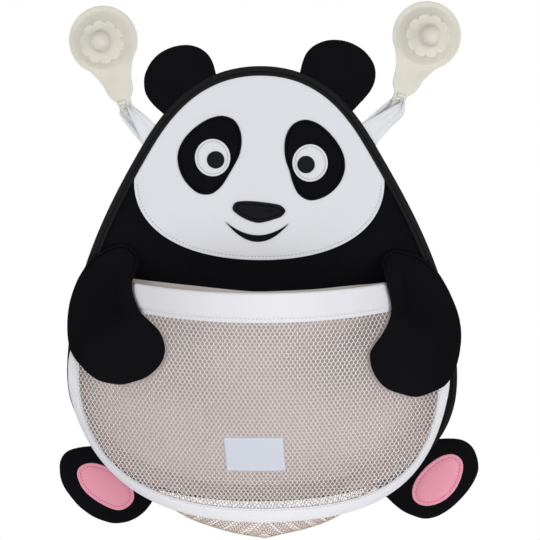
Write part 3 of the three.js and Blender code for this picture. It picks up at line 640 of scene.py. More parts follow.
def make_piece(name: str, points: np.ndarray, faces: list, finish: Cloth | Thread | SoftVinyl,
               uv: np.ndarray | None = None) -> Piece:
    """Makes a smooth mesh object at the origin.

    Args:
        name: the piece's name.
        points: (x, z, depth) in millimetres.
        faces: rings of point numbers.
        finish: what the piece is made of.
        uv: a place on the cloth in metres for each point, where the pattern follows the surface.

    Returns:
        The object, linked to the scene.
    """
    mesh = bpy.data.meshes.new(name)
    mesh.from_pydata(to_metres(points).tolist(), [], faces)
    mesh.polygons.foreach_set("use_smooth", [True] * len(mesh.polygons))
    if uv is not None:
        layer = mesh.uv_layers.new(name="UVMap")
        corners = np.empty(len(mesh.loops), np.int32)
        mesh.loops.foreach_get("vertex_index", corners)
        layer.data.foreach_set("uv", np.asarray(uv, np.float32)[corners].ravel())
    mesh.materials.append(FINISHES.get(finish))
    mesh.validate()
    piece = bpy.data.objects.new(name, mesh)
    bpy.context.collection.objects.link(piece)
    return piece


def ring_faces(count: int, size: int, closed: bool = False, start: int = 0) -> list[tuple[int, ...]]:
    """Joins neighbouring rings of points by faces.

    Args:
        count: how many rings there are.
        size: how many points a ring has.
        closed: whether the last ring joins the first.
        start: the number of the first point.

    Returns:
        Faces as point numbers.
    """
    faces = []
    for i in range(count if closed else count - 1):
        low, high = start + i * size, start + (i + 1) % count * size
        for k in range(size):
            m = (k + 1) % size
            faces.append((low + k, low + m, high + m, high + k))
    return faces


def loft(name: str, rings: np.ndarray, finish: Cloth | Thread | SoftVinyl, closed: bool) -> Piece:
    """Joins rings of points into one closed skin.

    Args:
        name: the piece's name.
        rings: an array of rings, points and (x, z, depth) in millimetres.
        finish: what the piece is made of.
        closed: whether the last ring joins the first. Otherwise both ends are capped.

    Returns:
        The object, with its UV map in metres along and around.
    """
    count, size = rings.shape[:2]
    faces = ring_faces(count, size, closed)
    if not closed:
        faces.append(tuple(reversed(range(size))))
        faces.append(tuple(range((count - 1) * size, count * size)))
    along, around = run_of(rings.mean(1)), run_of(rings[count // 2])
    uv = np.stack([np.repeat(along, size), np.tile(around, count)], 1) * MM
    return make_piece(name, rings.reshape(-1, 3), faces, finish, uv)


@dataclass(frozen=True)
class Edge:
    """How a cut piece of cloth looks towards its edge: its rounding, its seam and what swells inside it."""

    thickness: float
    rounding: float
    seam: float = 0.0  # how far inside the edge the stitches run
    dip: float = 0.0  # how deep they pull the cloth in
    puff: float = 0.0  # how far the cloth swells inside the seam
    reach: float = 8.0  # over what distance it does so
    uneven: float = 0.0  # small unevenness of the surface
    uneven_length: float = 40.0
    groove: float = 0.75  # half the width of the groove that the stitches pull
    side: float = 0.3  # how much of the thickness the upright side of the edge has
    least_step: float = 0.06  # between two rings of points

    def insets(self) -> list[float]:
        """Chooses where the mesh has rings of points.

        Returns:
            The rings' distances from the edge.
        """
        rings = [0.0] + [self.rounding * f for f in (0.12, 0.4, 1.0)]
        if self.seam:
            rings += [self.seam + d for d in (-1.3, -0.65, 0.0, 0.65, 1.3)]
        kept: list[float] = []
        for inset in sorted(r for r in rings if r >= 0):
            if not kept or inset - kept[-1] > self.least_step:
                kept.append(inset)
        return kept

    def height(self, inset: float, held: float) -> float:
        """The height of the front above the back at a distance from the edge.

        Args:
            inset: the distance from the edge.
            held: how much of the seam there is here, from 0 to 1.

        Returns:
            The height in millimetres.
        """
        out = share(1 - inset / max(self.rounding, 1e-6))
        height = self.thickness * (self.side + (1 - self.side) * math.sqrt(max(0.0, 1 - out * out)))
        if self.seam:
            height -= held * self.dip * math.exp(-((inset - self.seam) / self.groove) ** 2)
        start = self.seam if self.seam else self.rounding
        return height + self.puff * soft((inset - start) / self.reach)

    def lift(self, inset: float) -> float:
        """How far the back is rounded up at a distance from the edge."""
        return self.thickness * 0.18 * soft(1 - inset / max(self.rounding, 1e-6))


def cut_sheet(name: str, loop: np.ndarray, bed: Depth, edge: Edge, finish: Cloth | Thread,
              fill: float = 7.0, held: Depth | None = None) -> Piece:
    """Makes a piece of cloth that was cut along a loop and lies on a bed.

    Args:
        name: the piece's name.
        loop: the counterclockwise outline as (x, z).
        bed: the depth of the piece's back at (x, z).
        edge: how it looks towards its edge.
        finish: what it is made of.
        fill: the spacing of the rings inside the edge.
        held: where there is a seam, from 0 to 1. Without it the seam runs all round.

    Returns:
        The object.
    """
    into = inward(loop)
    insets = edge.insets()
    rings = [loop + into * inset for inset in insets]
    last, middle = rings[-1], rings[-1].mean(0)
    radius = float(np.linalg.norm(last - middle, axis=1).mean())
    steps = max(3, round(radius / fill))
    depths = [np.full(len(loop), inset) for inset in insets]
    for step in range(1, steps):
        t = step / steps
        rings.append(last + (middle - last) * t)
        depths.append(insets[-1] + np.linalg.norm(last - middle, axis=1) * t)
    flat = np.vstack(rings + [middle[None]])
    inset_of = np.concatenate(depths + [[insets[-1] + radius]])
    seed = sum(map(ord, name)) * 0.37
    front, back = [], []
    for (x, z), inset in zip(flat, inset_of):
        low = bed(x, z)
        height = edge.height(inset, 1.0 if held is None else held(x, z))
        if edge.uneven:
            height += edge.uneven * ripple(x, z, edge.uneven_length, seed) * soft(inset / 4)
        front.append((x, z, low + height))
        back.append((x, z, low + edge.lift(inset)))
    count, total = len(loop), len(flat)
    last_ring = (len(rings) - 1) * count
    faces = ring_faces(len(rings), count)
    faces += [(last_ring + i, last_ring + (i + 1) % count, total - 1) for i in range(count)]
    faces += [tuple(total + v for v in reversed(face)) for face in faces]
    for i in range(count):
        j = (i + 1) % count
        faces.append((i, total + i, total + j, j))
    return make_piece(name, np.array(front + back), faces, finish)


def declare_cut(piece: Piece, loop: np.ndarray,
                with_pieces: Sequence[Piece] = ()) -> None:
    """Works out the sheet size of a cut piece from its outline, and keeps nothing of it.

    Args:
        piece: the piece; not used.
        loop: its outline in millimetres.
        with_pieces: the pieces that go with it.
    """
    width, height = (loop.max(0) - loop.min(0)) * MM
    area = min(abs(area_of(loop)) * MM * MM, width * height)
    list(with_pieces)


def stand_for(node: str, pieces: Sequence[Piece], ride: str = "") -> None:
    """Hides a CAD node, and puts the pieces that replace it, with what is sewn to them, on a body.

    Args:
        node: the CAD node.
        pieces: the piece that replaces it, then its stitches and the like.
        ride: the body that they ride on; left empty, they are put on none.
    """
    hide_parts(node)
    for piece in pieces:
        if ride:
            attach(piece, ride)


def names_of(pieces: Sequence[Piece]) -> str:
    """The names of pieces, for the log."""
    return ", ".join(piece.name for piece in pieces)


# Geometry nodes


def node_tree(name: str, inputs: dict[str, str]) -> tuple[bpy.types.NodeTree, dict]:
    """Starts a Geometry Nodes tree with named inputs.

    Args:
        name: the tree's name.
        inputs: the socket type of each input after the geometry, by name.

    Returns:
        The tree, and its inputs' sockets by name.
    """
    tree = bpy.data.node_groups.new(name, "GeometryNodeTree")
    tree.interface.new_socket(name="Geometry", in_out="INPUT", socket_type="NodeSocketGeometry")
    for label, kind in inputs.items():
        tree.interface.new_socket(name=label, in_out="INPUT", socket_type=kind)
    tree.interface.new_socket(name="Geometry", in_out="OUTPUT", socket_type="NodeSocketGeometry")
    return tree, {socket.name: socket for socket in add_node(tree, "NodeGroupInput").outputs}


def end_tree(tree: bpy.types.NodeTree, shape: bpy.types.Node, material: bpy.types.NodeSocket) -> None:
    """Ends a Geometry Nodes tree with real geometry in a material.

    Args:
        tree: the tree.
        shape: the node that gives the geometry.
        material: the input that gives the material.
    """
    real = add_node(tree, "GeometryNodeRealizeInstances", {"Geometry": shape})
    dressed = add_node(tree, "GeometryNodeSetMaterial", {"Geometry": real, "Material": material})
    add_node(tree, "NodeGroupOutput", {"Geometry": dressed})


def run_tree(name: str, tree: bpy.types.NodeTree, source: bpy.types.Mesh, values: dict) -> Piece:
    """Runs a Geometry Nodes tree on a mesh and keeps the result as a plain mesh.

    Args:
        name: the new piece's name.
        tree: the tree.
        source: the mesh that it works on.
        values: the tree's inputs by name.

    Returns:
        The new object.
    """
    carrier = bpy.data.objects.new(name + "_source", source)
    modifier = carrier.modifiers.new("nodes", "NODES")
    modifier.node_group = tree
    for item in tree.interface.items_tree:
        if item.item_type == "SOCKET" and item.in_out == "INPUT" and item.name in values:
            modifier[item.identifier] = values[item.name]
    bpy.context.collection.objects.link(carrier)
    bpy.context.view_layer.update()
    made = carrier.evaluated_get(bpy.context.evaluated_depsgraph_get())
    mesh = bpy.data.meshes.new_from_object(made)
    mesh.name = name
    carrier.modifiers.remove(modifier)
    bpy.data.objects.remove(carrier)
    piece = bpy.data.objects.new(name, mesh)
    bpy.context.collection.objects.link(piece)
    return piece


class RunningStitch:
    """Geometry Nodes that lay short rounded stitches along lines."""

    def __init__(self) -> None:
        """Builds the tree."""
        tree, given = node_tree("running_stitch", {
            "Pitch": "NodeSocketFloat", "Stitch Length": "NodeSocketFloat",
            "Thread": "NodeSocketFloat", "Material": "NodeSocketMaterial"})
        line = add_node(tree, "GeometryNodeMeshToCurve", {"Mesh": given["Geometry"]})
        points = add_node(tree, "GeometryNodeResampleCurve",
                          {"Curve": line, "Length": given["Pitch"]}, mode="LENGTH")
        tangent = add_node(tree, "GeometryNodeInputTangent")
        turn = add_node(tree, "FunctionNodeAlignRotationToVector", {"Vector": tangent}, axis="Z")
        bead = add_node(tree, "GeometryNodeMeshUVSphere", {"Segments": 6, "Rings": 5, "Radius": 0.5})
        size = add_node(tree, "ShaderNodeCombineXYZ",
                        {"X": given["Thread"], "Y": given["Thread"], "Z": given["Stitch Length"]})
        smooth = add_node(tree, "GeometryNodeSetShadeSmooth", {"Geometry": bead})
        copies = add_node(tree, "GeometryNodeInstanceOnPoints",
                          {"Points": points, "Instance": smooth, "Rotation": turn, "Scale": size})
        end_tree(tree, copies, given["Material"])
        self.tree = tree

    def sew(self, name: str, lines: Sequence[np.ndarray], thread: Thread, pitch: float,
            length: float, width: float) -> Piece:
        """Sews along lines.

        Args:
            name: the piece's name.
            lines: lines of (x, z, depth) in millimetres.
            thread: the thread.
            pitch: from the start of one stitch to the next, in millimetres.
            length: the length of a stitch.
            width: the thickness of the thread.

        Returns:
            One object with all the stitches.
        """
        points, edges = [], []
        for line in lines:
            start = len(points)
            points += to_metres(line).tolist()
            edges += [(start + i, start + i + 1) for i in range(len(line) - 1)]
        mesh = bpy.data.meshes.new(name + "_lines")
        mesh.from_pydata(points, edges, [])
        return run_tree(name, self.tree, mesh, {
            "Pitch": pitch * MM, "Stitch Length": length * MM, "Thread": width * MM,
            "Material": FINISHES.get(thread)})


class KnittedNet:
    """Geometry Nodes that lay a knitted net of staggered oval holes over a surface.

    The net follows the surface's UV map in metres.
    """

    pitch = 4.0  # from hole to hole across, in millimetres
    row = 3.11  # from one row of holes to the next
    joint = 1.9  # how long two neighbours run side by side
    yarn = 0.78
    bound = 0.4  # between the middles of two neighbours where they run side by side
    start = 0.3  # from the surface's lower edge to the first row

    def __init__(self) -> None:
        """Builds the tree."""
        tree, given = node_tree("knitted_net", {
            "Left": "NodeSocketFloat", "Low": "NodeSocketFloat", "Wales": "NodeSocketInt",
            "Points": "NodeSocketInt", "Half Pitch": "NodeSocketFloat", "Row": "NodeSocketFloat",
            "Swing": "NodeSocketFloat", "Joint": "NodeSocketFloat", "Yarn": "NodeSocketFloat",
            "Material": "NodeSocketMaterial"})
        wales = add_node(tree, "GeometryNodeMeshLine", {"Count": given["Wales"]})
        wale = add_node(tree, "GeometryNodeMeshLine", {"Count": given["Points"]})
        copies = add_node(tree, "GeometryNodeInstanceOnPoints", {"Points": wales, "Instance": wale})
        lines = add_node(tree, "GeometryNodeRealizeInstances", {"Geometry": copies})
        # Each point's wale and place along it, from its number, and from them its place on the flat net
        value = {**given, "index": add_node(tree, "GeometryNodeInputIndex")}
        for name, operation, a, b in (
                ("middle", "ADD", "index", 0.5), ("wale", "DIVIDE", "middle", "Points"),
                ("column", "FLOOR", "wale", 0.0), ("before", "MULTIPLY", "column", "Points"),
                ("along", "SUBTRACT", "index", "before"), ("later", "ADD", "along", 0.5),
                ("pair", "DIVIDE", "later", 2.0), ("turn", "FLOOR", "pair", 0.0),
                ("even", "MULTIPLY", "turn", 2.0), ("second", "SUBTRACT", "along", "even"),
                ("both", "ADD", "column", "turn"), ("odd", "FLOORED_MODULO", "both", 2.0),
                ("double", "MULTIPLY", "odd", 2.0), ("side", "SUBTRACT", "double", 1.0),
                ("shift", "MULTIPLY", "column", "Half Pitch"), ("line", "ADD", "Left", "shift"),
                ("sway", "MULTIPLY", "side", "Swing"), ("across", "ADD", "line", "sway"),
                ("climb", "MULTIPLY", "turn", "Row"), ("level", "ADD", "Low", "climb"),
                ("half", "SUBTRACT", "second", 0.5), ("reach", "MULTIPLY", "half", "Joint"),
                ("up", "ADD", "level", "reach"), ("radius", "MULTIPLY", "Yarn", 0.5)):
            value[name] = add_node(tree, "ShaderNodeMath",
                                   {0: value.get(a, a), 1: value.get(b, b)}, operation=operation)
        flat = add_node(tree, "ShaderNodeCombineXYZ", {"X": value["across"], "Y": value["up"]})
        laid = add_node(tree, "GeometryNodeSetPosition", {"Geometry": lines, "Position": flat})
        here = add_node(tree, "GeometryNodeInputPosition")
        map_uv = add_node(tree, "GeometryNodeInputNamedAttribute",
                          {"Name": "UVMap"}, data_type="FLOAT_VECTOR")
        sample = add_node(tree, "GeometryNodeSampleUVSurface",
                          {"Mesh": given["Geometry"], "Value": here, "Sample UV": here,
                           "UV Map": map_uv.outputs["Attribute"]}, data_type="FLOAT_VECTOR")
        outside = add_node(tree, "FunctionNodeBooleanMath", {0: sample.outputs["Is Valid"]}, operation="NOT")
        kept = add_node(tree, "GeometryNodeDeleteGeometry", {"Geometry": laid, "Selection": outside})
        draped = add_node(tree, "GeometryNodeSetPosition",
                          {"Geometry": kept, "Position": sample.outputs["Value"]})
        curves = add_node(tree, "GeometryNodeMeshToCurve", {"Mesh": draped})
        round_yarn = add_node(tree, "GeometryNodeCurvePrimitiveCircle",
                              {"Radius": value["radius"], "Resolution": 5})
        tubes = add_node(tree, "GeometryNodeCurveToMesh",
                         {"Curve": curves, "Profile Curve": round_yarn.outputs["Curve"],
                          "Fill Caps": True})
        smooth = add_node(tree, "GeometryNodeSetShadeSmooth", {"Geometry": tubes})
        end_tree(tree, smooth, given["Material"])
        self.tree = tree

    def knit(self, name: str, grid: np.ndarray, uv: np.ndarray, thread: Thread,
             scale: float = 1.0) -> Piece:
        """Knits a net over a grid of points.

        Args:
            name: the piece's name.
            grid: rows and columns of (x, z, depth) in millimetres.
            uv: the place of each point on the flat net, in millimetres.
            thread: its yarn.
            scale: the size of its holes, next to those of the front.

        Returns:
            The net as one object.
        """
        rows, columns = grid.shape[:2]
        faces = [(r * columns + c, r * columns + c + 1, (r + 1) * columns + c + 1, (r + 1) * columns + c)
                 for r in range(rows - 1) for c in range(columns - 1)]
        flat = uv.reshape(-1, 2)
        base = make_piece(name + "_bed", grid.reshape(-1, 3), faces, thread, flat * MM)
        mesh = base.data
        bpy.data.objects.remove(base)
        low, high = flat.min(0), flat.max(0)
        half, row = self.pitch / 2 * scale, self.row * scale
        left = -math.ceil(-low[0] / half) * half
        turns = int((high[1] - low[1]) / row) + 1
        return run_tree(name, self.tree, mesh, {
            "Left": left * MM, "Low": (low[1] + self.start) * MM,
            "Wales": int((high[0] - left) / half) + 1, "Points": 2 * turns,
            "Half Pitch": half * MM, "Row": row * MM,
            "Swing": (half - self.bound) / 2 * MM, "Joint": self.joint * scale * MM,
            "Yarn": self.yarn * MM, "Material": FINISHES.get(thread)})


# Body and face


@dataclass
class Body:
    """The egg-shaped neoprene panel with the tape that binds its edge."""

    thickness: float = 3.9
    tape_width: float = 8.7
    tape: float = 0.6
    tape_front: float = 5.9
    groove: float = 5.1  # where the tape's stitches run, from the outer edge
    rib: float = 2.1  # from rib to rib of the tape
    rib_height: float = 0.16
    # How far the pocket draws the edge in at the lower left, at what height, and over what height and width
    drawn_in: tuple = (5.4, -152.0, 31.0, 60.0)
    outline: np.ndarray = field(init=False)
    into: np.ndarray = field(init=False)

    def __post_init__(self) -> None:
        """Reads the body's outer edge from the CAD binding, and draws it in behind the pocket."""
        loop = node_outline("panel_binding", 2.4, 60)
        most, level, span, wide = self.drawn_in
        pull = most * np.exp(-((loop[:, 1] - level) / span) ** 2) * np.clip(-loop[:, 0] / wide, 0, 1)
        self.outline = loop + inward(loop) * pull[:, None]
        self.into = inward(self.outline)

    def clearance(self, x: float, z: float) -> float:
        """The distance from a point to the body's outer edge."""
        return float(np.linalg.norm(self.outline - (x, z), axis=1).min())

    def nearest(self, point: np.ndarray) -> tuple[int, float]:
        """Finds the place on the body's edge nearest to a point.

        Args:
            point: the point as (x, z).

        Returns:
            The number of the edge's nearest point, and how far inside the edge the point lies.
        """
        i = int(np.linalg.norm(self.outline - point, axis=1).argmin())
        return i, float((point - self.outline[i]) @ self.into[i])

    def build_panel(self) -> Piece:
        """Makes the panel, which ends inside the folded tape and just clears the wall.

        Returns:
            The panel.
        """
        loop = self.outline + self.into * (self.tape + 0.4)
        edge = Edge(self.thickness - 0.1, 0.6, uneven=0.25, uneven_length=70)
        return cut_sheet("body_panel_cloth", loop, lambda x, z: 0.05, edge, Finishes.neoprene, fill=9)

    def build_tape(self) -> Piece:
        """Makes the binding tape, folded round the edge of the panel.

        Returns:
            The tape.
        """
        w, t, front = self.tape_width, self.tape, self.tape_front
        outer: list[tuple[float, float]] = [(w, 0.0), (w * 0.6, 0.0), (2.6, 0.0), (1.2, 0.15)]
        outer += [(0.35, 0.8), (0.0, 2.0), (0.0, front - 2.2), (0.3, front - 0.8), (1.1, front - 0.05)]
        first, step, turned = 1.8, 0.38, 1.1  # the ribbed front's start, its points, and its rounded end
        for inset in np.arange(first, w + 0.01, step):
            rib = self.rib_height * math.cos(2 * math.pi * (inset - first) / self.rib)
            seam = 0.42 * math.exp(-((inset - self.groove) / 0.55) ** 2)
            end = 0.35 * soft((inset - w + turned) / turned)
            outer.append((float(inset), front + 0.2 + rib - seam - end))
        inner = [(max(i, t) if i < w else i, min(max(d, t), front - t)) for i, d in reversed(outer[::2])]
        count = len(self.outline)
        rings = np.stack([np.column_stack([self.outline + self.into * inset, np.full(count, depth)])
                          for inset, depth in outer + inner], 1)
        return loft("binding_tape", rings, Finishes.tape, closed=True)

    def build(self, stitch: RunningStitch) -> None:
        """Builds the panel and its sewn binding, and puts them on the body.

        Args:
            stitch: what sews the tape.
        """
        panel, tape = self.build_panel(), self.build_tape()
        line = seam_line(self.outline, self.groove, self.tape_front + 0.12)
        seam = stitch.sew("binding_stitches", [line], Finishes.black_thread, pitch=3.2, length=2.5,
                          width=0.55)
        stand_for("body_panel", [panel], "body")
        stand_for("panel_binding", [tape], "body")
        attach(seam, "body")
        declare_cut(panel, self.outline)
        around = length_of(back_to_start(self.outline)) * MM
        log.info("body: %s", names_of((panel, tape, seam)))


@dataclass
class Face:
    """The sewn face: white cloth, eye patches, eyes, nose and an embroidered mouth."""

    body: Body
    seam: float = 3.1
    patch_seam: float = 2.7
    mouth_tips: tuple = ((-32.0, 44.8), (25.9, 43.1))
    mouth_x: float = -3.2
    mouth_upper: float = 32.4
    mouth_lower: float = 26.2
    satin_pitch: float = 0.75
    satin_rise: float = 0.95
    satin_relief: float = 0.14  # how far each thread stands out
    eye_form: tuple = (0.955, 1.01)  # how the eye whites are a little narrow
    # Points that the edges of the patches and the nose curve through
    edges: dict = field(default_factory=lambda: {
        "eye_patch_left": (
            (-19.2, 106), (-17.1, 117), (-18.3, 128.2), (-23.9, 137.8), (-34.2, 141.7), (-45.2, 139.7),
            (-55.1, 134.4), (-63.8, 127.3), (-70.9, 118.6), (-75.2, 108.3), (-75.1, 97.1), (-71.5, 86.4),
            (-65, 77.3), (-56.1, 70.7), (-45.1, 70.3), (-36.1, 76.9), (-29.9, 86.3), (-24.2, 96)),
        "eye_patch_right": (
            (76.9, 101.5), (73.3, 112.1), (67.1, 121.4), (59.4, 129.6), (50.1, 135.9), (39.2, 138.1),
            (29.2, 133.5), (23.5, 124), (21.9, 112.9), (23, 101.7), (26.6, 91.1), (29.6, 80.3),
            (34.7, 70.3), (44.1, 64.6), (55, 66.1), (64.8, 71.7), (72.2, 80), (76.6, 90.3)),
        "nose": (
            (22.8, 54.8), (18.4, 59.8), (11.6, 61.5), (4.6, 62.5), (-2.3, 63.3), (-9.3, 63.8),
            (-16.3, 63.8), (-23.1, 62.3), (-25.5, 56.4), (-20.8, 51.4), (-14.7, 47.7), (-8.3, 45),
            (-1.4, 43.7), (5.5, 44.9), (12.2, 46.9), (18.8, 49.4))})

    def free(self, x: float, z: float) -> float:
        """How free the face's edge is of the binding, from 0 under it to 1 away from it."""
        return soft((self.body.clearance(x, z) - self.body.tape_width) / 5)

    def patch(self, node: str, edge: Edge, finish: Cloth, thread: Thread | None, stitch: RunningStitch,
              fill: float = 5.0, step: float = 1.4, pitch: float = 3.0) -> list[Piece]:
        """Makes one cut piece of the face with its stitches.

        Args:
            node: the CAD node that it stands for.
            edge: how it looks towards its edge.
            finish: its cloth.
            thread: the thread, if it shows.
            stitch: what sews it.
            fill: the spacing of its inner rings.
            step: the spacing along its edge.
            pitch: from stitch to stitch.

        Returns:
            The piece, and its stitches if it has any.
        """
        back = node_back(node)
        loop = ring_loop(self.edges[node], step) if node in self.edges else node_outline(node, step)
        if node.startswith("eye_white"):
            loop = loop.mean(0) + (loop - loop.mean(0)) * self.eye_form
        made = [cut_sheet(node + "_cloth", loop, lambda x, z: back, edge, finish, fill)]
        if thread:
            line = seam_line(loop, edge.seam, back + edge.thickness - edge.dip * 0.45)
            length = pitch * mix(1.0, 0.78, soft((pitch - 1.7) / 1.3))  # small stitches touch each other
            made.append(stitch.sew(node + "_stitches", [line], thread, pitch, length, 0.18 * pitch))
        declare_cut(made[0], loop, made[1:])
        return made

    def build_cloth(self, stitch: RunningStitch) -> list[Piece]:
        """Makes the white cloth, whose lower edge is turned in and sewn down.

        Args:
            stitch: what sews it.

        Returns:
            The cloth and its stitches.
        """
        back = node_back("face_panel")
        loop = node_outline("face_panel", 2.2)
        edge = Edge(0.85, 0.8, self.seam, dip=0.5)
        cloth = cut_sheet("face_panel_cloth", loop, lambda x, z: back + 0.55 * self.rolled(x, z, loop),
                          edge, Finishes.face_cloth, fill=8, held=self.free)
        free = np.array([self.free(x, z) > 0.5 for x, z in loop])
        run = stretch(loop + inward(loop) * self.seam, free)
        line = np.column_stack([run, np.full(len(run), back + 0.62)])
        thread = stitch.sew("face_stitches", [line], Finishes.face_shade_thread, pitch=3.4, length=1.7, width=0.6)
        declare_cut(cloth, loop, [thread])
        return [cloth, thread]

    def rolled(self, x: float, z: float, loop: np.ndarray) -> float:
        """How far the turned edge stands up.

        Args:
            x: how far to the right.
            z: how high.
            loop: the cloth's outline.

        Returns:
            A share from 0 to 1.
        """
        gap = float(np.linalg.norm(loop - (x, z), axis=1).min())
        return self.free(x, z) * soft(1 - gap / (self.seam * 1.1))

    def build_mouth(self) -> Piece:
        """Makes the mouth as satin stitches laid side by side across a crescent.

        Returns:
            The mouth.
        """
        back = node_back("mouth")
        (x0, z0), (x1, z1) = self.mouth_tips
        tips = (z0 + z1) / 2
        per_thread, across = 4, 8  # how many rings a thread has, and how many steps a ring
        columns = int((x1 - x0) / self.satin_pitch * per_thread)
        rings = []
        for i in range(1, columns):
            t = i / columns
            arch = 4 * t * (1 - t)
            middle = 2 * t * (1 - t) * self.mouth_x + (1 - t) ** 2 * x0 + t * t * x1
            level = mix(z0, z1, t)
            low = level + (self.mouth_lower - tips) * arch
            high = level + (self.mouth_upper - tips) * arch
            lean = 0.18 * (high - low) * (2 * t - 1)
            thread = self.satin_relief * abs(math.sin(math.pi * t * columns / per_thread))
            ring = []
            for s in np.linspace(0, 1, across + 1):
                rise = (self.satin_rise + thread) * math.sin(math.pi * mix(0.06, 0.94, s)) ** 0.5
                ring.append((middle - lean * (s - 0.5), mix(low, high, s), back + rise))
            ring += [(middle, mix(low, high, s), back) for s in (0.95, 0.05)]
            rings.append(ring)
        return loft("mouth_satin_stitch", np.array(rings)[::-1], Finishes.black_thread, closed=False)

    def build(self, stitch: RunningStitch) -> None:
        """Builds the face and puts it on the body.

        Args:
            stitch: what sews it.
        """
        groups: dict[str, list[Piece]] = {"face_panel": self.build_cloth(stitch)}
        patch = Edge(0.95, 0.8, self.patch_seam, dip=0.7, puff=0.15, reach=4)
        eye = Edge(0.75, 0.6, seam=2.3, dip=0.4, puff=-0.05, reach=3)
        pupil = Edge(0.6, 0.4)
        nose = Edge(1.25, 0.9, seam=3.2, dip=0.95, puff=0.1, reach=3)
        for side in SIDES:
            groups["eye_patch_" + side] = self.patch("eye_patch_" + side, patch, Finishes.neoprene,
                                                     Finishes.sunk_shade_thread, stitch)
            groups["eye_white_" + side] = self.patch("eye_white_" + side, eye, Finishes.face_cloth,
                                                     Finishes.dark_grey_thread, stitch, fill=4, step=1.0,
                                                     pitch=1.7)
            groups["pupil_" + side] = self.patch("pupil_" + side, pupil, Finishes.pupil, None, stitch,
                                                 fill=3, step=0.8)
        groups["nose"] = self.patch("nose", nose, Finishes.pupil, Finishes.sunk_shade_thread, stitch,
                                    fill=4, step=1.2)
        groups["mouth"] = [self.build_mouth()]
        for node, made in groups.items():
            stand_for(node, made, "body")
            log.info("face: %s", names_of(made))


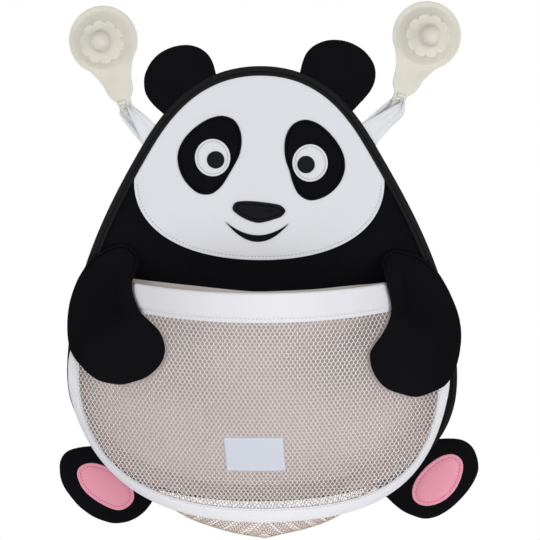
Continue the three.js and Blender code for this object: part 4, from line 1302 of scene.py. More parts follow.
@dataclass
class Flaps:
    """The ears and feet: raw-edged neoprene flaps sewn behind the bound edge, the feet with sole pads."""

    body: Body
    tuck: float = 1.9  # how far a flap goes in under the tape
    bend: float = 9.0  # how far out from the edge it bends
    stiff: float = 1.0  # how far inside its fold it starts to
    pad_seam: float = 3.4
    pad_gap: float = 0.2  # between a pad and the bound edge
    pad_rounds: int = 14  # how often a pad's corners are evened out
    # Points that the flaps' free edges curve through, counterclockwise from under the tape to under it again
    free_edges: dict = field(default_factory=lambda: {
        "ear_left": (
            (-38.8, 174.5), (-40.6, 180.9), (-42.6, 188.3), (-45.9, 195.1), (-51.2, 200.6),
            (-57.9, 204.1), (-65.4, 205.7), (-73, 205.4), (-80.4, 203.7), (-87.4, 200.7), (-93.7, 196.5),
            (-98.9, 190.9), (-102.8, 184.4), (-105.4, 177.3), (-105.9, 169.7), (-104.6, 162.2),
            (-100.9, 155.6), (-95.9, 149.8), (-90.2, 144.8), (-85.6, 140.8)),
        "ear_right": (
            (79.4, 140.8), (83.7, 145.4), (89.4, 151.5), (95.1, 157.6), (100.1, 164.1), (103.7, 171.6),
            (104.8, 179.8), (103.3, 187.9), (99.1, 195), (93.5, 201.1), (86.5, 205.6), (78.9, 208.8),
            (70.8, 210.3), (62.5, 210.2), (54.5, 208.1), (47.2, 204.1), (41.6, 198.1), (38.3, 190.5),
            (36.3, 182.5), (34.8, 176.3)),
        "foot_left": (
            (-147, -164.9), (-157, -165.6), (-165.6, -166.4), (-171.1, -167.4), (-176.6, -168.9),
            (-181.6, -171.7), (-185.3, -176.2), (-187.4, -182.1), (-187.6, -188.7), (-187.1, -194.7),
            (-185.5, -200.5), (-183, -205.8), (-180.2, -210.2), (-175.3, -216.8), (-169.7, -223.3),
            (-160.6, -230.6), (-153.1, -234.8), (-143.5, -238.2), (-137.6, -239.4), (-130.7, -239.1),
            (-122.8, -237.3), (-114.6, -233.1), (-106.8, -226.3), (-99.7, -216.3), (-94, -208.2),
            (-88, -200)),
        "foot_right": (
            (104, -201.5), (111.5, -209.1), (118.3, -214.9), (125.2, -221.6), (133.8, -228.1),
            (143.4, -232.4), (151.9, -234.9), (159.6, -234.4), (168.1, -231.4), (179.5, -223.6),
            (190.8, -211.9), (198.2, -201.2), (202.5, -191.5), (203.3, -184.6), (201.7, -175.8),
            (197.8, -167.2), (191.1, -161.3), (183.5, -158.9), (173.9, -158.4), (165.9, -158.9),
            (157.6, -160), (148, -161.5))})
    # Points that the pads' edges curve through, before the bound edge cuts them off
    pads: dict = field(default_factory=lambda: {
        "left": (
            (-154.3, -181.3), (-166.1, -182.9), (-171.5, -190.9), (-165.1, -207), (-149.6, -219.8),
            (-131.3, -226.5), (-118.3, -216.4), (-122, -200), (-138, -187.5)),
        "right": (
            (155.4, -183.6), (149.3, -190.4), (143.5, -199.3), (141.1, -208.6), (143, -217.1),
            (151, -221.9), (158.8, -222), (166.5, -219.6), (174.5, -214.6), (181.3, -207.2),
            (186.2, -197.4), (188.9, -184.8), (186.3, -176.8), (179.3, -172.6), (170.9, -173.7),
            (164.3, -176.8))})

    def tucked(self, node: str) -> np.ndarray:
        """A flap's outline: its free edge, and its base in under the tape.

        Args:
            node: the flap's name.

        Returns:
            A counterclockwise loop.
        """
        tucked = self.body.outline + self.body.into * self.tuck
        free = spline(self.free_edges[node], 8)
        nearest, inside = zip(*(self.body.nearest(point) for point in free))
        kept = np.flatnonzero(np.array(inside) < self.tuck)
        start, end, count = nearest[kept[-1]], nearest[kept[0]], len(tucked)
        ahead = (end - start) % count
        way = range(1, ahead) if ahead < count / 2 else range(-1, ahead - count, -1)
        base = np.array([tucked[(start + k) % count] for k in way])
        loop = np.vstack([free[kept[0]:kept[-1] + 1], base])
        return spaced(loop, round(length_of(loop) / 1.8), closed=True)

    def build(self, stitch: RunningStitch) -> None:
        """Builds the flaps, and the sole pads on the feet.

        Args:
            stitch: what sews the pads.
        """
        for kind, side in ((k, s) for k in ("ear", "foot") for s in SIDES):
            node = f"{kind}_{side}"
            loop = self.tucked(node)
            back = node_back(node)
            edge = Edge(3.0, 0.9, uneven=0.5, uneven_length=28)
            flap = cut_sheet(node + "_cloth", loop, lambda x, z: back, edge, Finishes.neoprene,
                             fill=5)
            stand_for(node, [flap])
            declare_cut(flap, loop)
            made = [flap]
            if kind == "foot":
                made += self.build_pad(side, stitch)
            point, out = fold_line(node + "_flop")
            for piece in made:
                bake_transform(piece)
            log.info("flap: %s", names_of(made))

    def pad_outline(self, side: str) -> np.ndarray:
        """Draws a sole pad, cut off along the bound edge with rounded corners.

        Args:
            side: left or right.

        Returns:
            A counterclockwise loop.
        """
        loop = ring_loop(self.pads[side], 1.0)
        for i, point in enumerate(loop):
            nearest, inside = self.body.nearest(point)
            loop[i] = point - self.body.into[nearest] * max(0.0, inside + self.pad_gap)
        loop = spaced(loop, len(loop), closed=True)
        for _ in range(self.pad_rounds):
            loop = (np.roll(loop, 1, 0) + 2 * loop + np.roll(loop, -1, 0)) / 4
        return spaced(loop, round(len(loop) * 0.7), closed=True)

    def build_pad(self, side: str, stitch: RunningStitch) -> list[Piece]:
        """Makes the pink pad of a sole.

        Args:
            side: left or right.
            stitch: what sews it.

        Returns:
            The pad and its stitches.
        """
        node = f"foot_pad_{side}"
        loop = self.pad_outline(side)
        back = node_back(node) - 0.1  # pressed a little into the foot
        edge = Edge(1.0, 0.9, self.pad_seam, dip=0.75, puff=0.9, reach=9, uneven=0.1, uneven_length=20)
        pad = cut_sheet(node + "_cloth", loop, lambda x, z: back, edge, Finishes.pink_cloth, fill=4)
        line = seam_line(loop, self.pad_seam, back + 0.52)
        thread = stitch.sew(node + "_stitches", [line], Finishes.pink_thread, pitch=3.3, length=2.3,
                            width=0.65)
        stand_for(node, [pad, thread])
        declare_cut(pad, loop, [thread])
        return [pad, thread]


# Pocket


@dataclass
class Pocket:
    """The net pocket: rim, front net, seam band, gusset net, back lining and a bare label."""

    body: Body
    rim_half: float = 128.0
    rim_bow: float = 82.0
    bow_power: float = 2.1
    rim_top: float = -9.5
    rim_height: float = 26.5
    rim_cloth: float = 3.0
    rim_end: float = 4.2
    rim_seam: float = 22.9  # from the rim's top down to its stitches
    rim_pitch: float = 3.65
    rim_stand: float = 2.6  # how far the rim's front layer stands off its inner wall
    rim_round: float = 0.5  # how far it swells above its seam
    rim_groove: float = 1.35  # how far the seam pulls it in
    rim_pucker: float = 0.34
    rim_rope: float = 0.26  # how far its lower edge stands out at each stitch
    rim_wave: float = 0.6
    fold_rise: float = 0.9
    fold_at: float = 115.0  # where the turned-in end of the rim starts on the right
    band_width: float = 13.0
    band_taper: float = 0.17  # how much narrower the band is at its upper ends
    band_cloth: float = 2.0
    band_seam: float = 1.7  # from the band's inner edge to its stitches
    band_swell: float = 0.55  # how far each of its layers stands off its middle, and swells out there
    band_pucker: float = 0.5
    band_wave: float = 0.42
    band_top: tuple = (152.0, -54.0)
    band_turn: float = -72.0
    band_twist: float = 54.0  # degrees that the band turns sideways at most
    twist_span: float = 1.15
    twist_skew: float = 0.7
    # Half width to the band, then the reach of the curve at the hip and at the base
    left: tuple = (167.0, 56.0, 140.0)
    right: tuple = (164.0, 92.0, 114.0)
    hip: float = -90.0
    base: float = -210.5
    band_hip_depth: float = 16.0
    band_base_depth: float = 60.0
    band_ease: float = 1.2
    bulge: float = 8.0
    drop_power: float = 3.0
    net_gap: float = 0.9
    seam_rise: float = 10.0
    gusset_scale: float = 0.85
    # How far the gusset hangs below the band, by x
    sag: tuple = (
        (-114, 0), (-100, 9), (-80, 19.8), (-60, 27.4), (-42, 31.7), (-22, 36.2), (-1, 39.5), (5, 40.2),
        (19, 36.9), (40, 32.8), (57, 28.4), (71, 23), (90, 12), (106, 0))
    # Points of the lining's upper edge
    lining_top: tuple = (
        (-122, -7.6), (-100.5, -10.6), (-48.1, -16.4), (-18.9, -19.4), (2.3, -20.3), (46.5, -18.4),
        (82.4, -14.9), (101.7, -13.2), (118, -11.4))
    lining_reach: float = 6.0  # how far the lining goes past the pocket's edge
    lining_edge: float = 2.2  # between the lining and the body's edge, over the binding
    hem: float = 7.0
    label_at: tuple = (-4.8, -154.7)
    label_size: tuple = (52.5, 32.6)
    label_lean: float = 0.077
    edge: np.ndarray = field(init=False)
    sides: dict = field(init=False)

    def __post_init__(self) -> None:
        """Draws the inner edge of the band, from its left end round to its right end."""
        halves = []
        for sign, (half, hip_reach, base_reach) in ((-1, self.left), (1, self.right)):
            hip = (sign * half, self.hip)
            upper = bezier(((sign * self.band_top[0], self.band_top[1]), (sign * half, self.band_turn), hip))
            lower = bezier((hip, (sign * half, self.hip - hip_reach),
                            (sign * base_reach, self.base), (0, self.base)))
            halves.append(np.vstack([upper, lower[1:]]))
        self.edge = spaced(np.vstack([halves[0], halves[1][::-1][1:]]), 480)
        low = int(np.abs(self.edge[:, 0]).argmin())
        self.sides = {-1: self.edge[low::-1] * (-1, 1), 1: self.edge[low:]}

    def edge_point(self, u: float, out: float) -> np.ndarray:
        """A point of the pocket's edge, moved outwards.

        Args:
            u: how far along the edge, from 0 at its left end to 1 at its right end.
            out: how far outwards.

        Returns:
            The point as (x, z).
        """
        i = share(u) * (len(self.edge) - 1)
        first = min(int(i), len(self.edge) - 2)
        here = self.edge[first] + (self.edge[first + 1] - self.edge[first]) * (i - first)
        along = self.edge[min(first + 2, len(self.edge) - 1)] - self.edge[max(first - 1, 0)]
        along = along / np.linalg.norm(along)
        return here + np.array((along[1], -along[0])) * out

    @property
    def rim_bottom(self) -> float:
        """The height of the rim's lower edge."""
        return self.rim_top - self.rim_height

    def net_half(self, x: float, z: float) -> float:
        """Half the width of the net.

        Args:
            x: a place on the side that is asked for.
            z: how high.

        Returns:
            The half width in millimetres.
        """
        if z > self.band_top[1]:
            down = share((self.rim_bottom - z) / (self.rim_bottom - self.band_top[1]))
            return mix(self.rim_half + self.rim_cloth / 2, self.band_top[0], down)
        side = self.sides[-1 if x < 0 else 1]
        return max(float(np.interp(z, side[:, 1], side[:, 0])), 0.5)

    def band_depth(self, z: float) -> float:
        """The depth of the middle of the band.

        Args:
            z: how high.

        Returns:
            The depth in millimetres.
        """
        upper = share((self.rim_bottom - z) / (self.rim_bottom - self.hip))
        lower = share((self.hip - z) / (self.hip - self.base))
        start = self.rim_end + self.rim_cloth / 2
        rise = (self.band_base_depth - self.band_hip_depth) * lower ** self.band_ease
        return mix(start, self.band_hip_depth, upper) + rise

    def twist(self, z: float) -> float:
        """How far the band turns sideways at a height, from 0 to 1."""
        up = share((z - self.base) / (self.hip - self.base) / self.twist_span ** (1 / self.twist_skew))
        return math.sin(math.pi * up ** self.twist_skew)

    def net_depth(self, x: float, z: float) -> float:
        """The depth of the front net, and above it of the rim.

        Args:
            x: how far to the right.
            z: how high.

        Returns:
            The depth in millimetres.
        """
        drop = share((self.rim_bottom - z) / (self.rim_bottom - self.base))
        rim = self.rim_end + self.rim_bow + self.rim_cloth / 2
        middle = mix(rim, self.band_base_depth, drop ** self.drop_power)
        middle += self.bulge * math.sin(math.pi * drop)
        edge = self.band_depth(z)
        return edge + (middle - edge) * (1 - min(abs(x / self.net_half(x, z)), 1.0) ** self.bow_power)

    def rim_point(self, s: float, lift: float, drop: float) -> tuple[float, float, float]:
        """A point of the rim.

        Args:
            s: how far along it, from -1 at its left end to 1 at its right end.
            lift: how far off its inner wall.
            drop: how far down from its top.

        Returns:
            The point as (x, z, depth).
        """
        bow = 1 - abs(s) ** self.bow_power
        return (self.rim_half + lift) * s, self.rim_top - drop, self.rim_end + (self.rim_bow + lift) * bow

    def rim_swell(self, run: float, drop: float) -> float:
        """How far the rim's front layer stands off its inner wall: puckered at its seam, folded at its end.

        Args:
            run: the distance along the rim from its middle.
            drop: the distance down from its top.

        Returns:
            The distance in millimetres.
        """
        sewn = math.exp(-((drop - self.rim_seam) / 0.9) ** 2)
        near = math.exp(-((drop - self.rim_seam + 2.4) / 3.2) ** 2) + 0.7 * soft((drop - self.rim_seam) / 2)
        faded = mix(1.0, 0.35, soft((run + 20) / 70))
        rope = math.cos(2 * math.pi * run / self.rim_pitch) * soft((drop - self.rim_seam) / 1.2)
        wave = self.rim_pucker * near * ripple(run, 0, 3.6, 3.1) + self.rim_rope * faded * rope
        wave += self.rim_wave * ripple(run, drop, 46, 8.2)
        swell = self.rim_round * math.sin(math.pi * share(drop / self.rim_seam))
        fold = self.fold_rise * soft((run - self.fold_at) / 0.9)
        return self.rim_stand + swell - self.rim_groove * faded * sewn + wave + fold

    def build_rim(self) -> tuple[Piece, float]:
        """Makes the rim: a strip folded over at the top and sewn to the net below.

        Returns:
            The rim and its length in millimetres.
        """
        layer, columns, sewn = 0.85, 300, self.rim_seam
        top_fold = ((0.08, 0.8), (0.3, 0.1), (0.62, 0.05))  # from the back layer over to the front, and down
        heights = [1.6, 3.5, 7, 11, 15, 18, 19.6, 20.8] + [sewn + d for d in (-0.8, -0.4, 0, 0.4, 0.8)]
        heights += [24.0, 25.2, 26.2, 26.5]
        rings, middle = [], []
        for i in range(columns + 1):
            s = 2 * i / columns - 1
            run = s * self.rim_half

            def behind(drop: float) -> float:
                """How far the back layer lies off the inner wall."""
                return 0.25 + 0.5 * math.exp(-((drop - sewn) / 1.6) ** 2) + 0.5 * soft((drop - sewn) / 3)

            def front(drop: float, under: float = 0.0) -> tuple[float, float, float]:
                """A point of the front layer, or under its face."""
                lift = max(self.rim_swell(run, drop) - under, behind(drop) + 0.3 - 0.1 * under)
                return self.rim_point(s, lift, drop)

            ring = [front(drop) for drop in heights]
            ring += [front(drop, layer) for drop in reversed(heights[2:])]
            ring += [self.rim_point(s, behind(drop) + 0.25, drop) for drop in heights[2:]]
            ring += [self.rim_point(s, behind(drop), drop) for drop in reversed(heights)]
            ring += [self.rim_point(s, mix(0.35, 2.3, k), drop) for k, drop in top_fold]
            rings.append(ring)
            middle.append(self.rim_point(s, 1.5, 10))
        rim = loft("pocket_rim_cloth", np.array(rings)[::-1], Finishes.band_cloth, closed=False)
        return rim, length_of(np.array(middle))

    def build_rim_seam(self, stitch: RunningStitch) -> Piece:
        """Sews the rim's lower edge.

        Args:
            stitch: what sews it.

        Returns:
            The stitches.
        """
        line = [self.rim_point(s, self.rim_swell(s * self.rim_half, self.rim_seam) + 0.12, self.rim_seam)
                for s in np.linspace(-0.985, 0.985, 400)]
        return stitch.sew("rim_stitches", [np.array(line)], Finishes.rim_shade_thread, pitch=self.rim_pitch,
                          length=1.9, width=0.7)

    def front_grid(self) -> tuple[np.ndarray, np.ndarray]:
        """The surface of the front net, which stretches as it bulges.

        Its holes then look even from the front.

        Returns:
            A grid of points, and each point's place on the flat net, in millimetres.
        """
        finer = -190  # the height below which the net's outline curves in faster
        zs = np.concatenate([np.linspace(self.rim_bottom + 1.6, finer, 90),
                             np.linspace(finer, self.base - 0.6, 24)[1:]])
        ss = np.linspace(-1, 1, 121)
        grid = np.zeros((len(zs), len(ss), 3))
        for r, z in enumerate(zs):
            under = 0.6 if z < self.band_top[1] else 0.0
            halves = {sign: self.net_half(sign, z) + under for sign in (-1, 1)}
            for c, s in enumerate(ss):
                x = halves[-1 if s < 0 else 1] * s
                grid[r, c] = (x, z, self.net_depth(x, z))
        return grid[::-1], grid[::-1, :, :2]

    def gusset_grid(self) -> tuple[np.ndarray, np.ndarray]:
        """The surface of the gusset net, from the band back to the body.

        Returns:
            A grid of points, and each point's place on the flat net, in millimetres.
        """
        us, vs = np.linspace(0, 1, 241), np.linspace(0, 1, 25)
        sag = spline(self.sag, 8)
        grid = np.zeros((len(vs), len(us), 3))
        for c, u in enumerate(us):
            here = self.edge_point(u, 0)
            deep = self.band_depth(here[1])
            low = share((deep - self.band_hip_depth) / (self.band_base_depth - self.band_hip_depth))
            hang = float(np.interp(here[0], sag[:, 0], sag[:, 1])) if here[1] < self.hip else 0.0
            start = deep - self.band_cloth / 2 - mix(self.net_gap, 0.3, self.twist(here[1]))
            for r, v in enumerate(vs):
                out = -self.net_gap - self.seam_rise * low * v + hang * math.sin(math.pi * v)
                grid[r, c] = (*self.edge_point(u, out), mix(start, self.rim_end, v))
        along = run_of(grid[0]) - length_of(grid[0]) / 2
        rises = np.linalg.norm(np.diff(grid, axis=0), axis=2)
        deep = np.concatenate([np.zeros((1, len(us))), np.cumsum(rises, 0)])
        return grid, np.stack([np.repeat(along[None], len(vs), 0), deep], 2)

    def lining_outline(self) -> tuple[np.ndarray, np.ndarray]:
        """Draws the lining inside the pocket's edge and the body's binding.

        Returns:
            Its upper edge from left to right, and its whole outline.
        """
        top = spaced(spline(self.lining_top, 8), 92)
        run = np.array([self.edge_point(u, self.lining_reach) for u in np.linspace(0, 1, 200)])
        for i, point in enumerate(run):
            nearest, inside = self.body.nearest(point)
            run[i] = point + self.body.into[nearest] * max(0.0, self.lining_edge - inside)
        return top, spaced(np.vstack([run, top[::-1]]), 300, closed=True)

    def build_lining(self, stitch: RunningStitch) -> tuple[list[Piece], np.ndarray]:
        """Makes the tricot lining on the body behind the net, with a hem along its upper edge.

        Args:
            stitch: what sews the hem.

        Returns:
            The lining, its hem and the hem's stitches, and the lining's outline.
        """
        top, loop = self.lining_outline()
        back, front = (-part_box("back_net")[k][1] / MM for k in (1, 0))

        def bed(x: float, z: float) -> float:
            """The depth of the lining's back, which climbs over the binding."""
            near = self.body.tape_width + 1.2 - self.body.clearance(x, z)
            return mix(back, self.body.tape_front + 0.45, soft(near / 1.2) if z < self.hip / 2 else 0.0)

        lining = cut_sheet("back_net_lining", loop, bed, Edge(front - back, 0.4), Finishes.lining,
                           fill=3)
        rings, line = [], []
        for x, z in top[1:-1]:
            section = [(0.4, back + 0.1), (0.5, front), (0.2, front + 0.55), (-0.8, front + 0.75)]
            section += [(-self.hem + 1.4, front + 0.55), (-self.hem + 0.9, front + 0.4),
                        (-self.hem, front + 0.5), (-self.hem - 0.4, front + 0.15), (-self.hem, front),
                        (-1.0, front)]
            rings.append([(x, z + up, deep) for up, deep in section])
            line.append((x, z - self.hem + 1.1, front + 0.62))
        hem = loft("back_net_hem", np.array(rings), Finishes.lining_hem, closed=False)
        seam = stitch.sew("back_net_stitches", [np.array(line)], Finishes.white_thread, pitch=3.4,
                          length=2.5, width=0.5)
        return [lining, hem, seam], loop

    def band_point(self, u: float, out: float, lift: float) -> tuple[float, float, float]:
        """A point of the turned band.

        Args:
            u: how far along it, from 0 at its left end to 1 at its right end.
            out: how far out from its inner edge.
            lift: how far in front of its middle.

        Returns:
            The point as (x, z, depth).
        """
        z = self.edge_point(u, 0)[1]
        turn = math.radians(self.band_twist) * self.twist(z)
        flat = self.edge_point(u, out * math.cos(turn) + lift * math.sin(turn))
        return flat[0], flat[1], self.band_depth(z) - out * math.sin(turn) + lift * math.cos(turn)

    def build_band(self) -> tuple[Piece, float]:
        """Makes the band that binds the seam of the nets: a strip folded along its outer edge.

        Returns:
            The band and its length in millimetres.
        """
        count, w, t = 480, self.band_width, 0.6  # rings, width, and thickness of a layer
        length = length_of(self.edge)
        rings = []
        outs = [0.0, 0.5, 1.2, 1.7, 2.3, 3.6, 5.5, 7.5, 9.5, 11.0, 12.0, 12.6]
        for i in range(count + 1):
            u = i / count
            run = u * length
            narrow = 1 - self.band_taper * soft((self.edge_point(u, 0)[1] + 112) / 30)
            pucker = self.band_pucker * ripple(run, 0, 4.2, 1.7)
            wave = self.band_wave * ripple(run, 5, 24, 4.4)

            def swell(out: float) -> float:
                """How far a layer swells between its seam and its fold."""
                open_part = math.sin(math.pi * share((out - 1.6) / (w - 1.6)))
                near = math.exp(-((out - 3) / 3) ** 2)
                rounded = mix(1.0, 0.72, soft((out - 11) / 2))
                swollen = (self.band_swell + pucker * near + wave) * open_part
                return (self.band_swell + swollen) * rounded + 0.25

            groove = [0.34 * math.exp(-((out - self.band_seam) / 0.5) ** 2) for out in outs]
            ring = [(out, swell(out) - g) for out, g in zip(outs, groove)]
            ring += [(w - 0.12, 0.45), (w, 0.0), (w - 0.12, -0.45)]
            ring += [(out, -swell(out)) for out in reversed(outs)]
            ring += [(out, t - swell(out)) for out in outs[:-1]]
            ring += [(out, swell(out) - t) for out in reversed(outs[:-1])]
            rings.append([self.band_point(u, out * narrow, lift) for out, lift in ring])
        return loft("lower_band_cloth", np.array(rings)[::-1], Finishes.band_cloth, closed=False), length

    def build_band_seam(self, stitch: RunningStitch) -> Piece:
        """Sews the band's inner edge.

        Args:
            stitch: what sews it.

        Returns:
            The stitches.
        """
        line = [self.band_point(u, self.band_seam, 0.68) for u in np.linspace(0.01, 0.99, 500)]
        return stitch.sew("band_stitches", [np.array(line)], Finishes.rim_shade_thread, pitch=3.2, length=2.3,
                          width=0.5)

    def build_label(self, stitch: RunningStitch) -> list[Piece]:
        """Makes the bare woven label that is sewn on the net.

        Args:
            stitch: what sews it.

        Returns:
            The label and its stitches.
        """
        (cx, cz), (w, h) = self.label_at, self.label_size
        columns, rows, inset_of_seam = 60, 26, 1.8

        def point(across: float, up: float, lift: float) -> tuple[float, float, float]:
            """A point of the label, from its middle, lifted off the net."""
            x, z = cx + across - self.label_lean * up, cz + up
            return x, z, self.net_depth(x, z) + lift + 0.35 * ripple(x, z, 17, 6.3)

        rings = []
        for across in np.linspace(-w / 2, w / 2, columns + 1):
            ring = []
            for up in np.linspace(h / 2, -h / 2, rows + 1):
                inset = min(w / 2 - abs(across), h / 2 - abs(up))
                turned = 0.18 * soft(1 - (inset - 3.2) / 0.8)
                ring.append(point(across, up, 1.25 + turned - 0.3 * soft(1 - inset / 0.5)))
            ring += [(p[0], p[1], p[2] - 0.5) for p in reversed(ring)]
            rings.append(ring)
        label = loft("label_weave_cloth", np.array(rings)[::-1], Finishes.label_cloth, closed=False)
        reach = np.array((w / 2 - inset_of_seam, h / 2 - inset_of_seam))
        corners = [reach * way for way in ((-1, -1), (1, -1), (1, 1), (-1, 1), (-1, -1))]
        lines = [np.array([point(*(a + (b - a) * t), 1.48) for t in np.linspace(0.02, 0.98, 30)])
                 for a, b in zip(corners, corners[1:])]
        thread = stitch.sew("label_stitches", lines, Finishes.white_thread, pitch=2.8, length=2.0,
                            width=0.45)
        return [label, thread]

    def build(self, stitch: RunningStitch, net: KnittedNet) -> None:
        """Builds the pocket and puts it on the body.

        Args:
            stitch: what sews it.
            net: what knits its nets.
        """
        rim, rim_length = self.build_rim()
        rim_seam = self.build_rim_seam(stitch)
        grid, flat = self.front_grid()
        front = net.knit("front_net_mesh", grid, flat, Finishes.net_yarn)
        front_cut = np.concatenate([flat[:, 0], flat[::-1, -1]])
        grid, flat = self.gusset_grid()
        gusset = net.knit("gusset_net_mesh", grid, flat, Finishes.shaded_gusset_yarn, self.gusset_scale)
        gusset_cut = np.concatenate([flat[0], flat[-1, ::-1]])
        (lining, hem, hem_seam), lining_cut = self.build_lining(stitch)
        band, band_length = self.build_band()
        band_seam = self.build_band_seam(stitch)
        label, label_seam = self.build_label(stitch)
        for node, made in {"pocket_rim": (rim, rim_seam), "front_net": (front,), "gusset_net": (gusset,),
                           "back_net": (lining, hem, hem_seam), "lower_band": (band, band_seam),
                           "label": (label, label_seam)}.items():
            stand_for(node, made, "body")
            log.info("pocket: %s", names_of(made))
        declare_cut(front, front_cut, [label])
        declare_cut(gusset, gusset_cut)
        declare_cut(lining, lining_cut, [hem, hem_seam])


# Arms


@dataclass
class Arms:
    """The arms: neoprene flaps sewn at the shoulder that hug the pocket."""

    pocket: Pocket
    seat: float = 6.2
    clearance: float = 1.8
    ramp_top: float = 14.0
    blend: float = 6.0
    seam: float = 2.6
    creases: dict = field(default_factory=lambda: {"left": 0.9, "right": 0.36})
    sewn_to: float = -4.0  # the height down to which an arm is sewn on
    bend_from: float = 8.0  # heights between which a lifted arm bends
    bend_to: float = -24.0
    # Points that the arms' edges curve through
    edges: dict = field(default_factory=lambda: {
        "left": (
            (-126.7, 24.1), (-117.1, 19.9), (-111.8, 10.8), (-113.8, -0.9), (-116.5, -8.1), (-116, -18.6),
            (-109, -33.8), (-99.6, -40.3), (-89.4, -48.4), (-84.5, -61.2), (-88.1, -74.2), (-99.6, -86.4),
            (-113.4, -93.2), (-127.3, -97.3), (-148.8, -95.8), (-165.3, -84.8), (-174.6, -70.7),
            (-177.3, -50.7), (-175.3, -29.8), (-169.3, -11.4), (-162.5, 1.1), (-155.8, 10.2),
            (-145.1, 18), (-135.4, 22.5)),
        "right": (
            (122.8, 18.8), (114.3, 14.8), (111.4, 7.7), (112.5, -0.4), (114.4, -8.2), (118.8, -26.1),
            (119.4, -35.8), (113.6, -47.1), (101.4, -60.9), (97.8, -69.4), (101.3, -84.3), (111.9, -98.2),
            (127.9, -106.4), (144.2, -110.8), (165.6, -105.4), (175.9, -94), (181.6, -79), (184.2, -58.5),
            (181.5, -39.4), (173.9, -20.3), (165.4, -5), (160.3, 1.1), (152.5, 9), (142.9, 14.3),
            (132.4, 17.2))})

    def depth(self, x: float, z: float) -> float:
        """The depth of an arm's back: on the binding at the shoulder, over the pocket below.

        Args:
            x: how far to the right.
            z: how high.

        Returns:
            The depth in millimetres.
        """
        on_band = self.pocket.band_depth(z - self.pocket.band_width) + self.pocket.band_cloth / 2
        on_net = self.pocket.net_depth(x, z) + self.pocket.rim_cloth / 2
        over = (on_band + on_net + math.hypot(on_band - on_net, self.blend)) / 2 + self.clearance
        return mix(self.seat, over, soft((self.ramp_top - z) / (self.ramp_top - self.pocket.rim_top)))

    def build(self, stitch: RunningStitch) -> None:
        """Builds the arms with their stitches at the shoulder.

        Args:
            stitch: what sews them.
        """
        for side in SIDES:
            loop = ring_loop(self.edges[side], 1.8)
            middle = float(loop[:, 0].mean())

            def sewn(x: float, z: float) -> float:
                """Where the shoulder is sewn down, from 0 to 1."""
                return soft((z - self.sewn_to) / 6)

            def bed(x: float, z: float) -> float:
                """The arm's back, with the soft crease below the shoulder."""
                crease = math.exp(-((z + 3 + 0.05 * (x - middle)) / 4.5) ** 2)
                return self.depth(x, z) - self.creases[side] * crease

            edge = Edge(3.0, 1.1, self.seam, dip=0.9, puff=0.35, reach=7, uneven=0.45, uneven_length=34)
            arm = cut_sheet(f"arm_{side}_cloth", loop, bed, edge, Finishes.neoprene, fill=4,
                            held=sewn)
            path = loop + inward(loop) * self.seam
            run = stretch(path, path[:, 1] > self.sewn_to)
            line = np.array([(x, z, bed(x, z) + 2.5) for x, z in run])
            thread = stitch.sew(f"arm_{side}_stitches", [line], Finishes.sunk_shade_thread, pitch=3.3, length=2.2,
                                width=0.95)
            stand_for(f"arm_{side}", [arm])
            declare_cut(arm, loop, [thread])
            for piece in (arm, thread):
                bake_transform(piece)
            log.info("arm: %s", names_of((arm, thread)))


# Suction cups and ribbons


